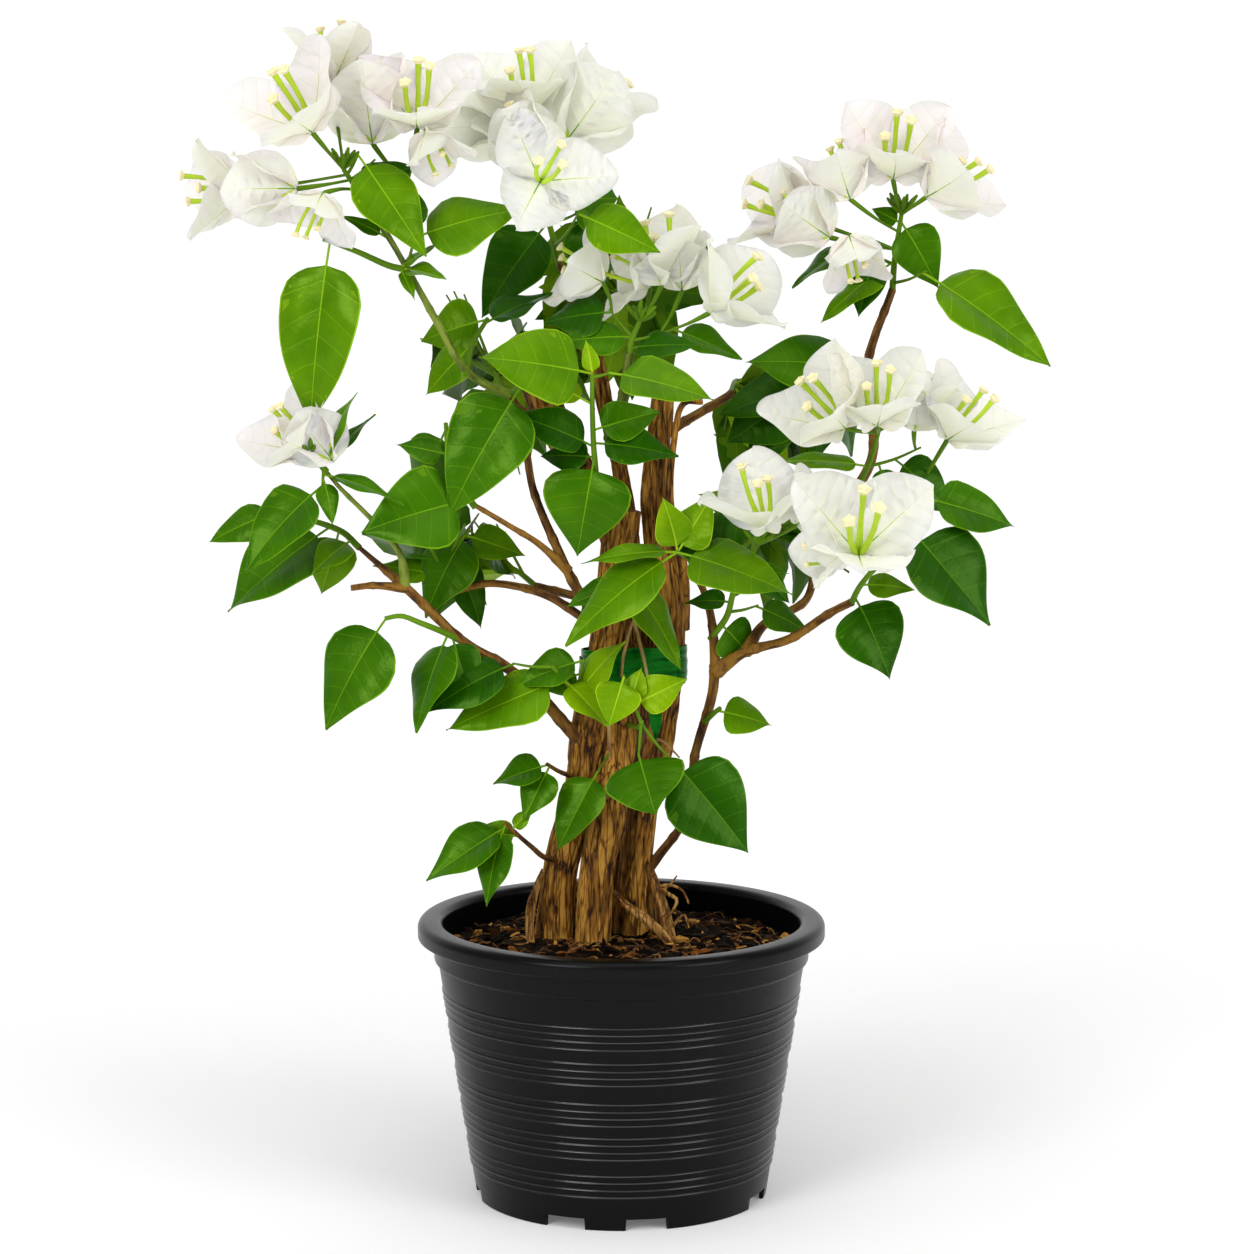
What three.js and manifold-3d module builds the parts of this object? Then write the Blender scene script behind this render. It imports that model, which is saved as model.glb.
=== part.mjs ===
// A potted bougainvillea bush with white bracts: woody stems tied together into one trunk, thin boughs
// that leave them, and sprays of leaves and blossom, all standing in a black nursery pot full of soil.
// Millimetres, +Z up. The origin is on the floor on the pot's axis, and the front looks along -Y.
import * as THREE from "three";
import Module from "manifold-3d";

// Driving dimensions
const RIM_WIDTH = 205; // outside of the pot's mouth
const FOOT_WIDTH = 147; // outside of the pot at the floor
const POT_HEIGHT = 141;
const WALL = 2;
const SOIL_BELOW_RIM = 14; // where the soil meets the pot's wall
const SOIL_HEAP = 4; // how much higher the soil stands round the stems
const GAP = 0.3; // clearance between neighbouring solids
const LEAF = 50; // blade of a full-grown leaf
const LEAF_RATIO = 0.62; // its width over its length
const PETIOLE = 0.15; // leaf stalk over the blade's length
const TUBE = 0.55; // flower tube over the length of its bract
const BRACT_CUP = 0.12; // how far a bract's tip curls inward, over its length
const JOINT = { half: 1, radius: 1.6 }; // where the bracts and tubes of a flower meet

const GROUND = POT_HEIGHT - SOIL_BELOW_RIM + SOIL_HEAP;
const STEM_FOOT = GROUND + GAP;
const GOLDEN_ANGLE = 137.5;

const COLOURS = {
  pot: 0x1b1c1e,
  soil: 0x2e2018,
  bark: 0x8a5f3a,
  shoot: 0x6f8f3a,
  foliage: 0x3f8f22,
  band: 0x0f6b38,
};

const wasm = await Module();
wasm.setup();

const plant = new THREE.Group();
const solids = [];

// Plain geometry

function vector(point) {
  return new THREE.Vector3(...point);
}

function rad(degrees) {
  return THREE.MathUtils.degToRad(degrees);
}

// A direction from its bearing in the front view, 0 right and 90 up, and its lean towards the front.
function heading(bearing, lean) {
  const b = rad(bearing);
  const l = rad(lean);
  return new THREE.Vector3(Math.cos(b) * Math.cos(l), -Math.sin(l), Math.sin(b) * Math.cos(l));
}

// The part of a vector that is square to a unit direction, as a unit vector.
function squareTo(direction, v) {
  return v.clone().addScaledVector(direction, -v.dot(direction)).normalize();
}

// The same numbers from 0 to 1 for the same seed.
function seeded(seed) {
  let state = seed;
  return () => {
    state = (state * 16807) % 2147483647;
    return state / 2147483647;
  };
}

// A closed skin of triangles. Each ring of points runs counter-clockwise about the way the skin travels.
class Skin {
  points = [];
  faces = [];

  ring(points) {
    this.points.push(...points);
    return points.map((_, i) => this.points.length - points.length + i);
  }

  bridge(low, high) {
    low.forEach((a, j) => {
      const k = (j + 1) % low.length;
      this.faces.push(a, low[k], high[k], a, high[k], high[j]);
    });
  }

  cap(ring) {
    for (let j = 1; j < ring.length - 1; j++) this.faces.push(ring[0], ring[j], ring[j + 1]);
  }

  point(ring, tip) {
    const [top] = this.ring([tip]);
    ring.forEach((a, j) => this.faces.push(a, ring[(j + 1) % ring.length], top));
  }

  solid() {
    const vertProperties = new Float32Array(this.points.flatMap((p) => [p.x, p.y, p.z]));
    return new wasm.Manifold(
      new wasm.Mesh({ numProp: 3, vertProperties, triVerts: new Uint32Array(this.faces) }),
    );
  }
}

// A closed solid through rings of points, with a flat end or a pointed one.
function loft(rings, tip = null) {
  const skin = new Skin();
  const placed = rings.map((ring) => skin.ring(ring));
  skin.cap(placed[0].toReversed());
  placed.slice(1).forEach((ring, i) => skin.bridge(placed[i], ring));
  if (tip) skin.point(placed.at(-1), tip);
  else skin.cap(placed.at(-1));
  return skin.solid();
}

function ringRound(centre, u, v, radius, sides) {
  return Array.from({ length: sides }, (_, j) => {
    const angle = (2 * Math.PI * j) / sides;
    return centre
      .clone()
      .addScaledVector(u, radius * Math.cos(angle))
      .addScaledVector(v, radius * Math.sin(angle));
  });
}

// A solid turned round the Z axis from [radius, height] points that close on themselves or on the axis.
function turned(profile, segments) {
  const lathe = new THREE.LatheGeometry(profile.map(([r, z]) => new THREE.Vector2(r, z)), segments);
  const rings = lathe.attributes.position;
  const weld = new Map();
  const points = [];
  const order = [];
  for (let i = 0; i < rings.count; i++) {
    const point = [rings.getX(i), -rings.getZ(i), rings.getY(i)];
    const key = point.map((c) => Math.round(c * 1000)).join();
    if (!weld.has(key)) {
      weld.set(key, points.length);
      points.push(point);
    }
    order.push(weld.get(key));
  }
  const faces = [];
  for (let i = 0; i < lathe.index.count; i += 3) {
    const [a, b, c] = [0, 1, 2].map((k) => order[lathe.index.getX(i + k)]);
    if (a !== b && b !== c && c !== a) faces.push(a, b, c);
  }
  return new wasm.Manifold(
    new wasm.Mesh({
      numProp: 3,
      vertProperties: new Float32Array(points.flat()),
      triVerts: new Uint32Array(faces),
    }),
  );
}

function largestBody(solid) {
  return solid.decompose().reduce((best, body) => (body.volume() > best.volume() ? body : best));
}

function addNode(name, solid, colour, roughness) {
  const mesh = solid.getMesh();
  const geometry = new THREE.BufferGeometry();
  geometry.setAttribute("position", new THREE.BufferAttribute(new Float32Array(mesh.vertProperties), 3));
  geometry.setIndex(new THREE.BufferAttribute(new Uint32Array(mesh.triVerts), 1));
  geometry.computeVertexNormals();
  const material = new THREE.MeshStandardMaterial({ color: colour, roughness, metalness: 0 });
  const node = new THREE.Mesh(geometry, material);
  node.name = name;
  plant.add(node);
  solids.push({ solid, box: solid.boundingBox() });
}

function boxesMeet(a, b) {
  return [0, 1, 2].every((k) => a.min[k] < b.max[k] && b.min[k] < a.max[k]);
}

// Whether a solid runs into a node that is already there.
function runsInto(solid) {
  const box = solid.boundingBox();
  return solids.some((other) => boxesMeet(box, other.box) && solid.intersect(other.solid).volume() > 0);
}

// Pot: a turned plastic shell with a rolled rim, bands of low ridges and a foot ring cut into pads

const POT_SEGMENTS = 28;
const RIM_LIP = 9;
const COLLAR = { radius: 94.3, bottom: 122, step: 1.5 };
const FLOOR_RISE = 6.5; // underside of the pot's floor above the ground
const BAND_BOTTOMS = [16.6, 36.4, 54, 75, 93.5];
const BAND = { height: 12, proud: 0.5, edge: 0.5 };
const MOUTH_INSIDE = 89.8;
const FOOT_PADS = { turns: 4, first: -96, narrow: 16, wide: 42, notch: 16, height: 6 };

function wallRadius(z) {
  const foot = FOOT_WIDTH / 2;
  const shoulder = COLLAR.radius - WALL;
  return foot + ((shoulder - foot) * z) / (COLLAR.bottom - COLLAR.step);
}

function potProfile() {
  const floorTop = FLOOR_RISE + WALL;
  const rim = RIM_WIDTH / 2;
  const round = 1.2;
  const bands = BAND_BOTTOMS.flatMap((z) => [
    [wallRadius(z), z],
    [wallRadius(z + BAND.edge) + BAND.proud, z + BAND.edge],
    [wallRadius(z + BAND.height - BAND.edge) + BAND.proud, z + BAND.height - BAND.edge],
    [wallRadius(z + BAND.height), z + BAND.height],
  ]);
  return [
    [0, FLOOR_RISE],
    [wallRadius(FLOOR_RISE) - WALL - 0.5, FLOOR_RISE],
    [wallRadius(0) - WALL, 0],
    [wallRadius(0), 0],
    ...bands,
    [wallRadius(COLLAR.bottom - COLLAR.step), COLLAR.bottom - COLLAR.step],
    [COLLAR.radius, COLLAR.bottom],
    [COLLAR.radius, POT_HEIGHT - RIM_LIP],
    [rim - round, POT_HEIGHT - RIM_LIP],
    [rim, POT_HEIGHT - RIM_LIP + round],
    [rim, POT_HEIGHT - round],
    [rim - round, POT_HEIGHT],
    [MOUTH_INSIDE + round, POT_HEIGHT],
    [MOUTH_INSIDE, POT_HEIGHT - round],
    [MOUTH_INSIDE - 0.3, COLLAR.bottom],
    [wallRadius(floorTop) - WALL, floorTop],
    [0, floorTop],
  ];
}

// A wedge that cuts one notch through the foot ring, between two angles.
function notchCutter(from, to) {
  const corner = (radius, angle, z) =>
    new THREE.Vector3(radius * Math.cos(rad(angle)), radius * Math.sin(rad(angle)), z);
  const ring = (z) => [corner(62, from, z), corner(82, from, z), corner(82, to, z), corner(62, to, z)];
  return loft([ring(-1), ring(FOOT_PADS.height)]);
}

function makePot() {
  const { turns, first, narrow, wide, notch } = FOOT_PADS;
  const cutters = [];
  for (let k = 0; k < turns; k++) {
    const afterNarrow = first + (360 / turns) * k + narrow / 2;
    const afterWide = afterNarrow + notch + wide;
    cutters.push(notchCutter(afterNarrow, afterNarrow + notch), notchCutter(afterWide, afterWide + notch));
  }
  return turned(potProfile(), POT_SEGMENTS).subtract(wasm.Manifold.union(cutters));
}

addNode("pot", makePot(), COLOURS.pot, 0.45);

// Soil: a plug of potting mix, heaped a little round the stems

function makeSoil() {
  const edge = POT_HEIGHT - SOIL_BELOW_RIM;
  const bottom = FLOOR_RISE + WALL + GAP;
  const wallAt = (z) => {
    const low = wallRadius(FLOOR_RISE + WALL) - WALL;
    const high = MOUTH_INSIDE - GAP;
    return low + ((high - low) * (z - bottom)) / (COLLAR.bottom - bottom) - GAP - 0.2;
  };
  return turned(
    [
      [0, bottom],
      [wallAt(bottom), bottom],
      [wallAt(COLLAR.bottom - 2), COLLAR.bottom - 2],
      [MOUTH_INSIDE - 3 * GAP, edge],
      [70, edge + 1.5],
      [50, GROUND],
      [0, GROUND],
    ],
    POT_SEGMENTS,
  );
}

addNode("soil", makeSoil(), COLOURS.soil, 0.95);

// Limbs: one smooth route each, thick at the foot and thinner at the tip

const limbs = new Map();

function curveOf(route) {
  return new THREE.CatmullRomCurve3(route.map(vector), false, "catmullrom", 0.5);
}

// thick lists radii that are spread evenly from the foot to the tip.
function radiusAt(thick, t) {
  const place = t * (thick.length - 1);
  const k = Math.min(Math.floor(place), thick.length - 2);
  return thick[k] + (thick[k + 1] - thick[k]) * (place - k);
}

function limbSolid(route, thick, { sides = 8, extra = 0, flatFoot = false } = {}) {
  const curve = curveOf(route);
  const steps = Math.max(3, Math.round(curve.getLength() / 18));
  const { normals, binormals, tangents } = curve.computeFrenetFrames(steps, false);
  const rings = normals.map((normal, i) => {
    const t = i / steps;
    const centre = curve.getPointAt(t);
    if (i === 0) centre.addScaledVector(tangents[0], -extra);
    if (i === steps) centre.addScaledVector(tangents[steps], extra);
    return ringRound(centre, normal, binormals[i], radiusAt(thick, t) + extra, sides);
  });
  if (flatFoot) rings[0].forEach((p) => (p.z = STEM_FOOT - extra));
  return loft(rings);
}

// Adds a limb that springs from others, cut clear of them, and clear of any it would run into.
function addLimb(name, route, thick, options = {}) {
  let solid = limbSolid(route, thick, options);
  const box = solid.boundingBox();
  for (const other of limbs.values())
    if (boxesMeet(box, other.grown.boundingBox())) solid = solid.subtract(other.grown);
  solid = largestBody(solid);
  limbs.set(name, {
    curve: curveOf(route),
    grown: limbSolid(route, thick, { ...options, extra: GAP }),
  });
  addNode(name, solid, options.colour ?? COLOURS.bark, 0.9);
}

// Stems: old woody stems that lean together into one trunk, flared a little at the soil

const WOODY = { sides: 10, flatFoot: true };

addLimb(
  "stem_left",
  [
    [-34, 3, STEM_FOOT], [-30, 3, 168], [-20, 1, 205], [-16, -2, 238],
    [-8, -6, 275], [-3, -5, 312], [1, -4, 348],
  ],
  [10, 8.8, 9.3, 9.5, 9.4, 9.2, 9.4, 9],
  WOODY,
);
addLimb(
  "stem_centre",
  [
    [-15, -8, STEM_FOOT], [-12, -9, 168], [-6, -8, 200], [0, 0, 238],
    [7, 7, 285], [3, 11, 345], [-9, 12, 403], [-18, 12, 436],
  ],
  [9.5, 8.8, 9.4, 8.6, 8, 7, 4.5, 3.9, 4.4, 5],
  WOODY,
);
addLimb(
  "stem_right",
  [
    [8, 15, STEM_FOOT], [8, 12, 168], [12, 9, 200], [20, 5, 238],
    [23, 3, 298], [16, 4, 348], [19, 5, 383], [22, 6, 417],
  ],
  [12, 8.6, 8.3, 8.4, 9, 8, 6.3, 6.3, 5.4],
  WOODY,
);
addLimb(
  "stem_back",
  [
    [-10, 33, STEM_FOOT], [-5, 30, 180], [5, 26, 235], [10, 24, 290],
    [-2, 27, 328], [-36, 34, 392], [-46, 35, 421],
  ],
  [11, 9, 8.6, 8, 7.8, 8, 8.4, 9],
  WOODY,
);
addLimb(
  "stem_side",
  [
    [31, 12, 286], [31, 8, 305], [29, 1, 328], [24, -5, 352],
    [26, -7, 382], [30, -8, 400], [40, -10, 402],
  ],
  [3.6, 3.6, 3, 2.4, 1.9, 1.6, 1.5],
);

// Band: a strip of green plastic tape wound round all the stems

const TAPE = { bottom: 261, top: 279, clear: 0.5, thick: 0.9, sides: 24 };

// The taut loop round the stems at one height: the furthest point of any stem, in each direction.
function loopRound(z, out) {
  const names = ["stem_left", "stem_centre", "stem_right", "stem_back"];
  const thick = { stem_left: 10.1, stem_centre: 8.2, stem_right: 9.1, stem_back: 8.6 };
  const circles = names.map((name) => {
    const { curve } = limbs.get(name);
    let t = 0;
    while (curve.getPoint(t).z < z) t += 0.005;
    return { centre: curve.getPoint(t), radius: thick[name] };
  });
  return Array.from({ length: TAPE.sides }, (_, k) => {
    const angle = (2 * Math.PI * k) / TAPE.sides;
    const reach = ({ centre, radius }) =>
      centre.x * Math.cos(angle) + centre.y * Math.sin(angle) + radius;
    const { centre, radius } = circles.reduce((a, b) => (reach(b) > reach(a) ? b : a));
    return new THREE.Vector3(
      centre.x + (radius + out) * Math.cos(angle),
      centre.y + (radius + out) * Math.sin(angle),
      z,
    );
  });
}

function makeBand() {
  const heights = [TAPE.bottom, (TAPE.bottom + TAPE.top) / 2, TAPE.top];
  const outer = loft(heights.map((z) => loopRound(z, TAPE.clear + TAPE.thick)));
  const inner = loft([TAPE.bottom - 2, heights[1], TAPE.top + 2].map((z) => loopRound(z, TAPE.clear)));
  return outer.subtract(inner);
}

addNode("tie_band", makeBand(), COLOURS.band, 0.35);

// Boughs: thin limbs that leave the stems, named by the side and height that they reach

const BOUGHS = {
  bough_left_high: {
    route: [
      [-5, -6, 284], [-16, -13, 300], [-26, -17, 318],
      [-42, -20, 356], [-47, -22, 380], [-54, -24, 406],
    ],
    thick: [2.8, 2.5, 2.3, 1.8],
  },
  shoot_left_high: {
    route: [[-54, -24, 406], [-75, -28, 418], [-89, -32, 442], [-103, -36, 468], [-118, -40, 494]],
    thick: [2, 2, 1.9, 1.7],
  },
  bough_left_twig: {
    route: [[-26, -17, 319], [-40, -25, 333], [-53, -31, 342], [-72, -36, 354]],
    thick: [1.8, 1.5, 1.2],
  },
  bough_left_middle: {
    route: [
      [-5, -6, 284], [-20, -1, 294], [-35, 4, 303],
      [-52, 8, 308], [-70, 10, 309], [-91, 12, 302],
    ],
    thick: [2.5, 2.2, 1.8, 1.6],
  },
  bough_left_low: {
    route: [
      [-17, -3, 228], [-28, -10, 241], [-42, -15, 258],
      [-58, -19, 272], [-78, -24, 285], [-106, -30, 313],
    ],
    thick: [3.2, 3, 2.8, 2.4],
  },
  bough_left_stub: {
    route: [[-105, -30, 312], [-120, -34, 314], [-132, -36, 313]],
    thick: [2, 1.8],
  },
  bough_left_outer: {
    route: [[-106, -30, 313], [-119, -24, 323], [-130, -20, 332]],
    thick: [1.8, 1.4],
  },
  shoot_left_outer: {
    route: [[-106, -30, 313], [-108, -32, 329], [-120, -36, 345], [-136, -40, 362], [-144, -42, 372]],
    thick: [1.8, 1.5, 1.2, 1.1],
  },
  bough_right_slender: {
    route: [
      [8, 12, 158], [18, 8, 170], [33, 1, 194], [37, -6, 226],
      [46, -12, 262], [44, -16, 298], [34, -20, 325],
    ],
    thick: [2.5, 2.3, 2.5, 2.6, 2.4, 1.9],
  },
  bough_right_low: {
    route: [[46, -12, 268], [62, -18, 279], [83, -29, 287], [101, -42, 301], [112, -50, 308]],
    thick: [2.8, 2.5, 2.2, 2],
  },
  bough_right_high: {
    route: [
      [62, -18, 279], [71, -8, 291], [92, 8, 301], [99, 15, 322],
      [115, 25, 350], [127, 34, 374], [124, 42, 415], [137, 50, 454],
    ],
    thick: [2.2, 2.2, 2.4, 2.2, 2],
  },
  bough_top_left: {
    route: [[-14, 12, 424], [-22, 16, 441], [-27, 22, 455], [-31, 26, 469]],
    thick: [2, 1.8, 1.5],
  },
  bough_top_middle: {
    route: [[-5, 12, 381], [1, 3, 402], [3, -6, 418], [4, -9, 426]],
    thick: [3.4, 3, 2],
  },
  bough_back_left: {
    route: [[-34, 34, 388], [-50, 50, 392], [-60, 66, 402]],
    thick: [2.6, 2],
  },
  bough_back_top: {
    route: [[-14, 12, 428], [-10, 34, 440], [-2, 56, 446]],
    thick: [2.2, 1.8],
  },
  bough_back_right: {
    route: [[20, 5, 384], [38, 34, 392], [56, 62, 400]],
    thick: [2.8, 2],
  },
  bough_back_low_right: {
    route: [[10, 24, 296], [36, 48, 310], [60, 68, 320]],
    thick: [2.8, 2],
  },
  bough_back_low_left: {
    route: [[10, 24, 290], [-18, 50, 296], [-44, 70, 300]],
    thick: [2.8, 2],
  },
};

for (const [name, { route, thick }] of Object.entries(BOUGHS)) {
  const green = name.startsWith("shoot");
  addLimb(name, route, thick, { sides: 6, colour: green ? COLOURS.shoot : COLOURS.bark });
}

// Leaves and blossom, each one closed solid with its root sunk in its twig

// A thin three-sided blade: stations are [distance, half width, keel depth], and it ends in a point.
function blade(foot, along, face, stations, length, droop) {
  const side = new THREE.Vector3().crossVectors(along, face);
  const centre = (distance) =>
    foot
      .clone()
      .addScaledVector(along, distance)
      .addScaledVector(face, -droop * length * (distance / length) ** 2);
  const rings = stations.map(([distance, half, keel]) => {
    const c = centre(distance);
    return [
      c.clone().addScaledVector(side, -half),
      c.clone().addScaledVector(side, half),
      c.clone().addScaledVector(face, -keel),
    ];
  });
  return loft(rings, centre(length));
}

function leafSolid(foot, along, face, length, width) {
  const stalk = length * PETIOLE;
  const half = width / 2;
  const stations = [
    [0, 0.4, 0.5],
    [stalk, 0.9, 1.2],
    [stalk + 0.3 * length, half, 0.02 * length],
    [stalk + 0.68 * length, 0.64 * half, 0.02 * length],
  ];
  return blade(foot, along, face, stations, stalk + length, 0.1);
}

// The way a leaf's upper side looks: to the front, turned by some degrees towards the sky.
function faceOf(along, bearing, turn) {
  const front = squareTo(along, new THREE.Vector3(0, -1, 0));
  const upward = new THREE.Vector3().crossVectors(front, along);
  if (Math.cos(rad(bearing)) < 0) upward.negate();
  return front.multiplyScalar(Math.cos(rad(turn))).addScaledVector(upward, Math.sin(rad(turn)));
}

// A flower: three bracts round a bunch of tubes, on a stalk from the twig to the joint.
function flowerSolid(from, joint, axis, spin, size, spread) {
  const front = squareTo(axis, new THREE.Vector3(0, -1, 0));
  const across = new THREE.Vector3().crossVectors(axis, front);
  const outwardAt = (degrees) =>
    front
      .clone()
      .multiplyScalar(Math.cos(rad(degrees)))
      .addScaledVector(across, Math.sin(rad(degrees)));
  const skin = new Skin();
  const sectionAt = (centre, radius) =>
    skin.ring([0, 1, 2].map((k) => centre.clone().addScaledVector(outwardAt(spin - 60 + 120 * k), radius)));
  const up = (distance) => joint.clone().addScaledVector(axis, distance);
  const root = sectionAt(from, 0.6);
  const under = sectionAt(up(-JOINT.half), JOINT.radius);
  const over = sectionAt(up(JOINT.half), JOINT.radius);
  const mouth = sectionAt(up(TUBE * size), 2.2);
  skin.cap(root.toReversed());
  skin.bridge(root, under);
  skin.bridge(over, mouth);
  skin.cap(mouth);
  for (let k = 0; k < 3; k++) {
    const next = (k + 1) % 3;
    const outward = outwardAt(spin + 120 * k);
    const side = new THREE.Vector3().crossVectors(axis, outward);
    const tilt = rad(spread);
    const along = axis.clone().multiplyScalar(Math.cos(tilt)).addScaledVector(outward, Math.sin(tilt));
    const face = axis.clone().multiplyScalar(Math.sin(tilt)).addScaledVector(outward, -Math.cos(tilt));
    const centre = (u) =>
      joint
        .clone()
        .addScaledVector(along, u * size)
        .addScaledVector(face, BRACT_CUP * size * u ** 2);
    const section = (u, half) =>
      skin.ring(
        [[-1, -1], [1, -1], [1, 1], [-1, 1]].map(([a, b]) =>
          centre(u)
            .addScaledVector(side, a * half * size)
            .addScaledVector(face, b * 0.01 * size),
        ),
      );
    const wide = section(0.36, 0.38);
    const narrow = section(0.7, 0.3);
    skin.bridge([under[k], under[next], over[next], over[k]], wide);
    skin.bridge(wide, narrow);
    skin.point(narrow, centre(1));
  }
  return skin.solid();
}

// Sprays: each grows from the tip or the side of a limb, and keeps to a ball of space round its stem

// A place is a twig's number and the fraction along it: 0.5 is half way up the stem, 1.5 half way up twig 1.
function pointAt(twigs, place) {
  const twig = twigs[Math.floor(place)];
  return twig.getPoint(place % 1);
}

function twigCurve(from, bearing, lean, length) {
  const tip = from.clone().addScaledVector(heading(bearing, lean), length);
  const middle = from.clone().lerp(tip, 0.5);
  middle.z -= 0.04 * length;
  return new THREE.CatmullRomCurve3([from, middle, tip], false, "catmullrom", 0.5);
}

function twigSolid(curve, thick) {
  const steps = Math.max(2, Math.round(curve.getLength() / 16));
  const { normals, binormals } = curve.computeFrenetFrames(steps, false);
  return loft(
    normals.map((normal, i) => {
      const t = i / steps;
      return ringRound(curve.getPointAt(t), normal, binormals[i], radiusAt(thick, t), 3);
    }),
  );
}

// Leaves and twigs by rule: round the stem by the golden angle, outward and hanging a little, with
// their upper sides to the sky and away from the trunk.
function seededGrowth(spray, twigs, random) {
  const centre = vector(spray.space);
  const room = spray.space[3];
  const outwardAt = (curve, t, turn) => {
    const tangent = curve.getTangent(t);
    const u = squareTo(tangent, new THREE.Vector3(0.3, -1, 0.2));
    const v = new THREE.Vector3().crossVectors(tangent, u);
    const out = u.multiplyScalar(Math.cos(rad(turn))).addScaledVector(v, Math.sin(rad(turn)));
    return out.addScaledVector(tangent, 0.55).normalize();
  };
  const first = twigs.length;
  for (let k = 0; k < spray.twiglets; k++) {
    const t = 0.3 + (0.65 * k) / spray.twiglets;
    const from = twigs[0].getPoint(t);
    const out = outwardAt(twigs[0], t, k * GOLDEN_ANGLE + 40 * random());
    twigs.push(new THREE.LineCurve3(from, from.clone().addScaledVector(out, room * (0.55 + 0.25 * random()))));
  }
  const leaves = [];
  for (let k = 0; k < spray.more; k++) {
    const twig = k % 4 === 0 ? 0 : first + (k % spray.twiglets);
    const t = 0.35 + 0.64 * random();
    const along = outwardAt(twigs[twig], t, k * GOLDEN_ANGLE + 50 * random());
    along.z -= 0.35 + 0.5 * random();
    along.normalize();
    const length = LEAF * (0.7 + 0.45 * random());
    const foot = twigs[twig].getPoint(t);
    const away = new THREE.Vector3(foot.x, foot.y, 0).normalize();
    const skyward = new THREE.Vector3(0.6 * random() - 0.3, 0.6 * random() - 0.3, 0.8);
    const face = squareTo(along, away.add(skyward));
    const tip = foot.clone().addScaledVector(along, length * (1 + PETIOLE));
    if (tip.distanceTo(centre) < room) leaves.push({ foot, along, face, length, width: length * LEAF_RATIO });
  }
  return leaves;
}

// A twig, leaf or flower that would run into another node is left out.
function makeSpray(spray) {
  const stem = curveOf(spray.stem);
  const twigs = [stem];
  for (const [place, ...way] of spray.twigs ?? []) twigs.push(twigCurve(pointAt(twigs, place), ...way));
  const shown = (spray.leaves ?? []).map(([place, bearing, lean, length, width, turn]) => {
    const along = heading(bearing, lean);
    return { foot: pointAt(twigs, place), along, face: faceOf(along, bearing, turn), length, width };
  });
  const hidden = spray.space ? seededGrowth(spray, twigs, seeded(spray.seed)) : [];
  const flowers = spray.flowers ?? [];
  const pieces = [
    ...twigs.slice(1).map((curve) => twigSolid(curve, [0.8, 1, 0.8])),
    ...[...shown, ...hidden].map((l) => leafSolid(l.foot, l.along, l.face, l.length, l.width)),
    ...flowers.map(([place, joint, bearing, lean, ...form]) =>
      flowerSolid(pointAt(twigs, place), vector(joint), heading(bearing, lean), ...form),
    ),
  ].filter((piece) => !runsInto(piece));
  let solid = wasm.Manifold.union([twigSolid(stem, [1.7, 1.2]), ...pieces]);
  const box = solid.boundingBox();
  for (const limb of limbs.values())
    if (boxesMeet(box, limb.grown.boundingBox())) solid = solid.subtract(limb.grown);
  return largestBody(solid);
}

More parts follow.
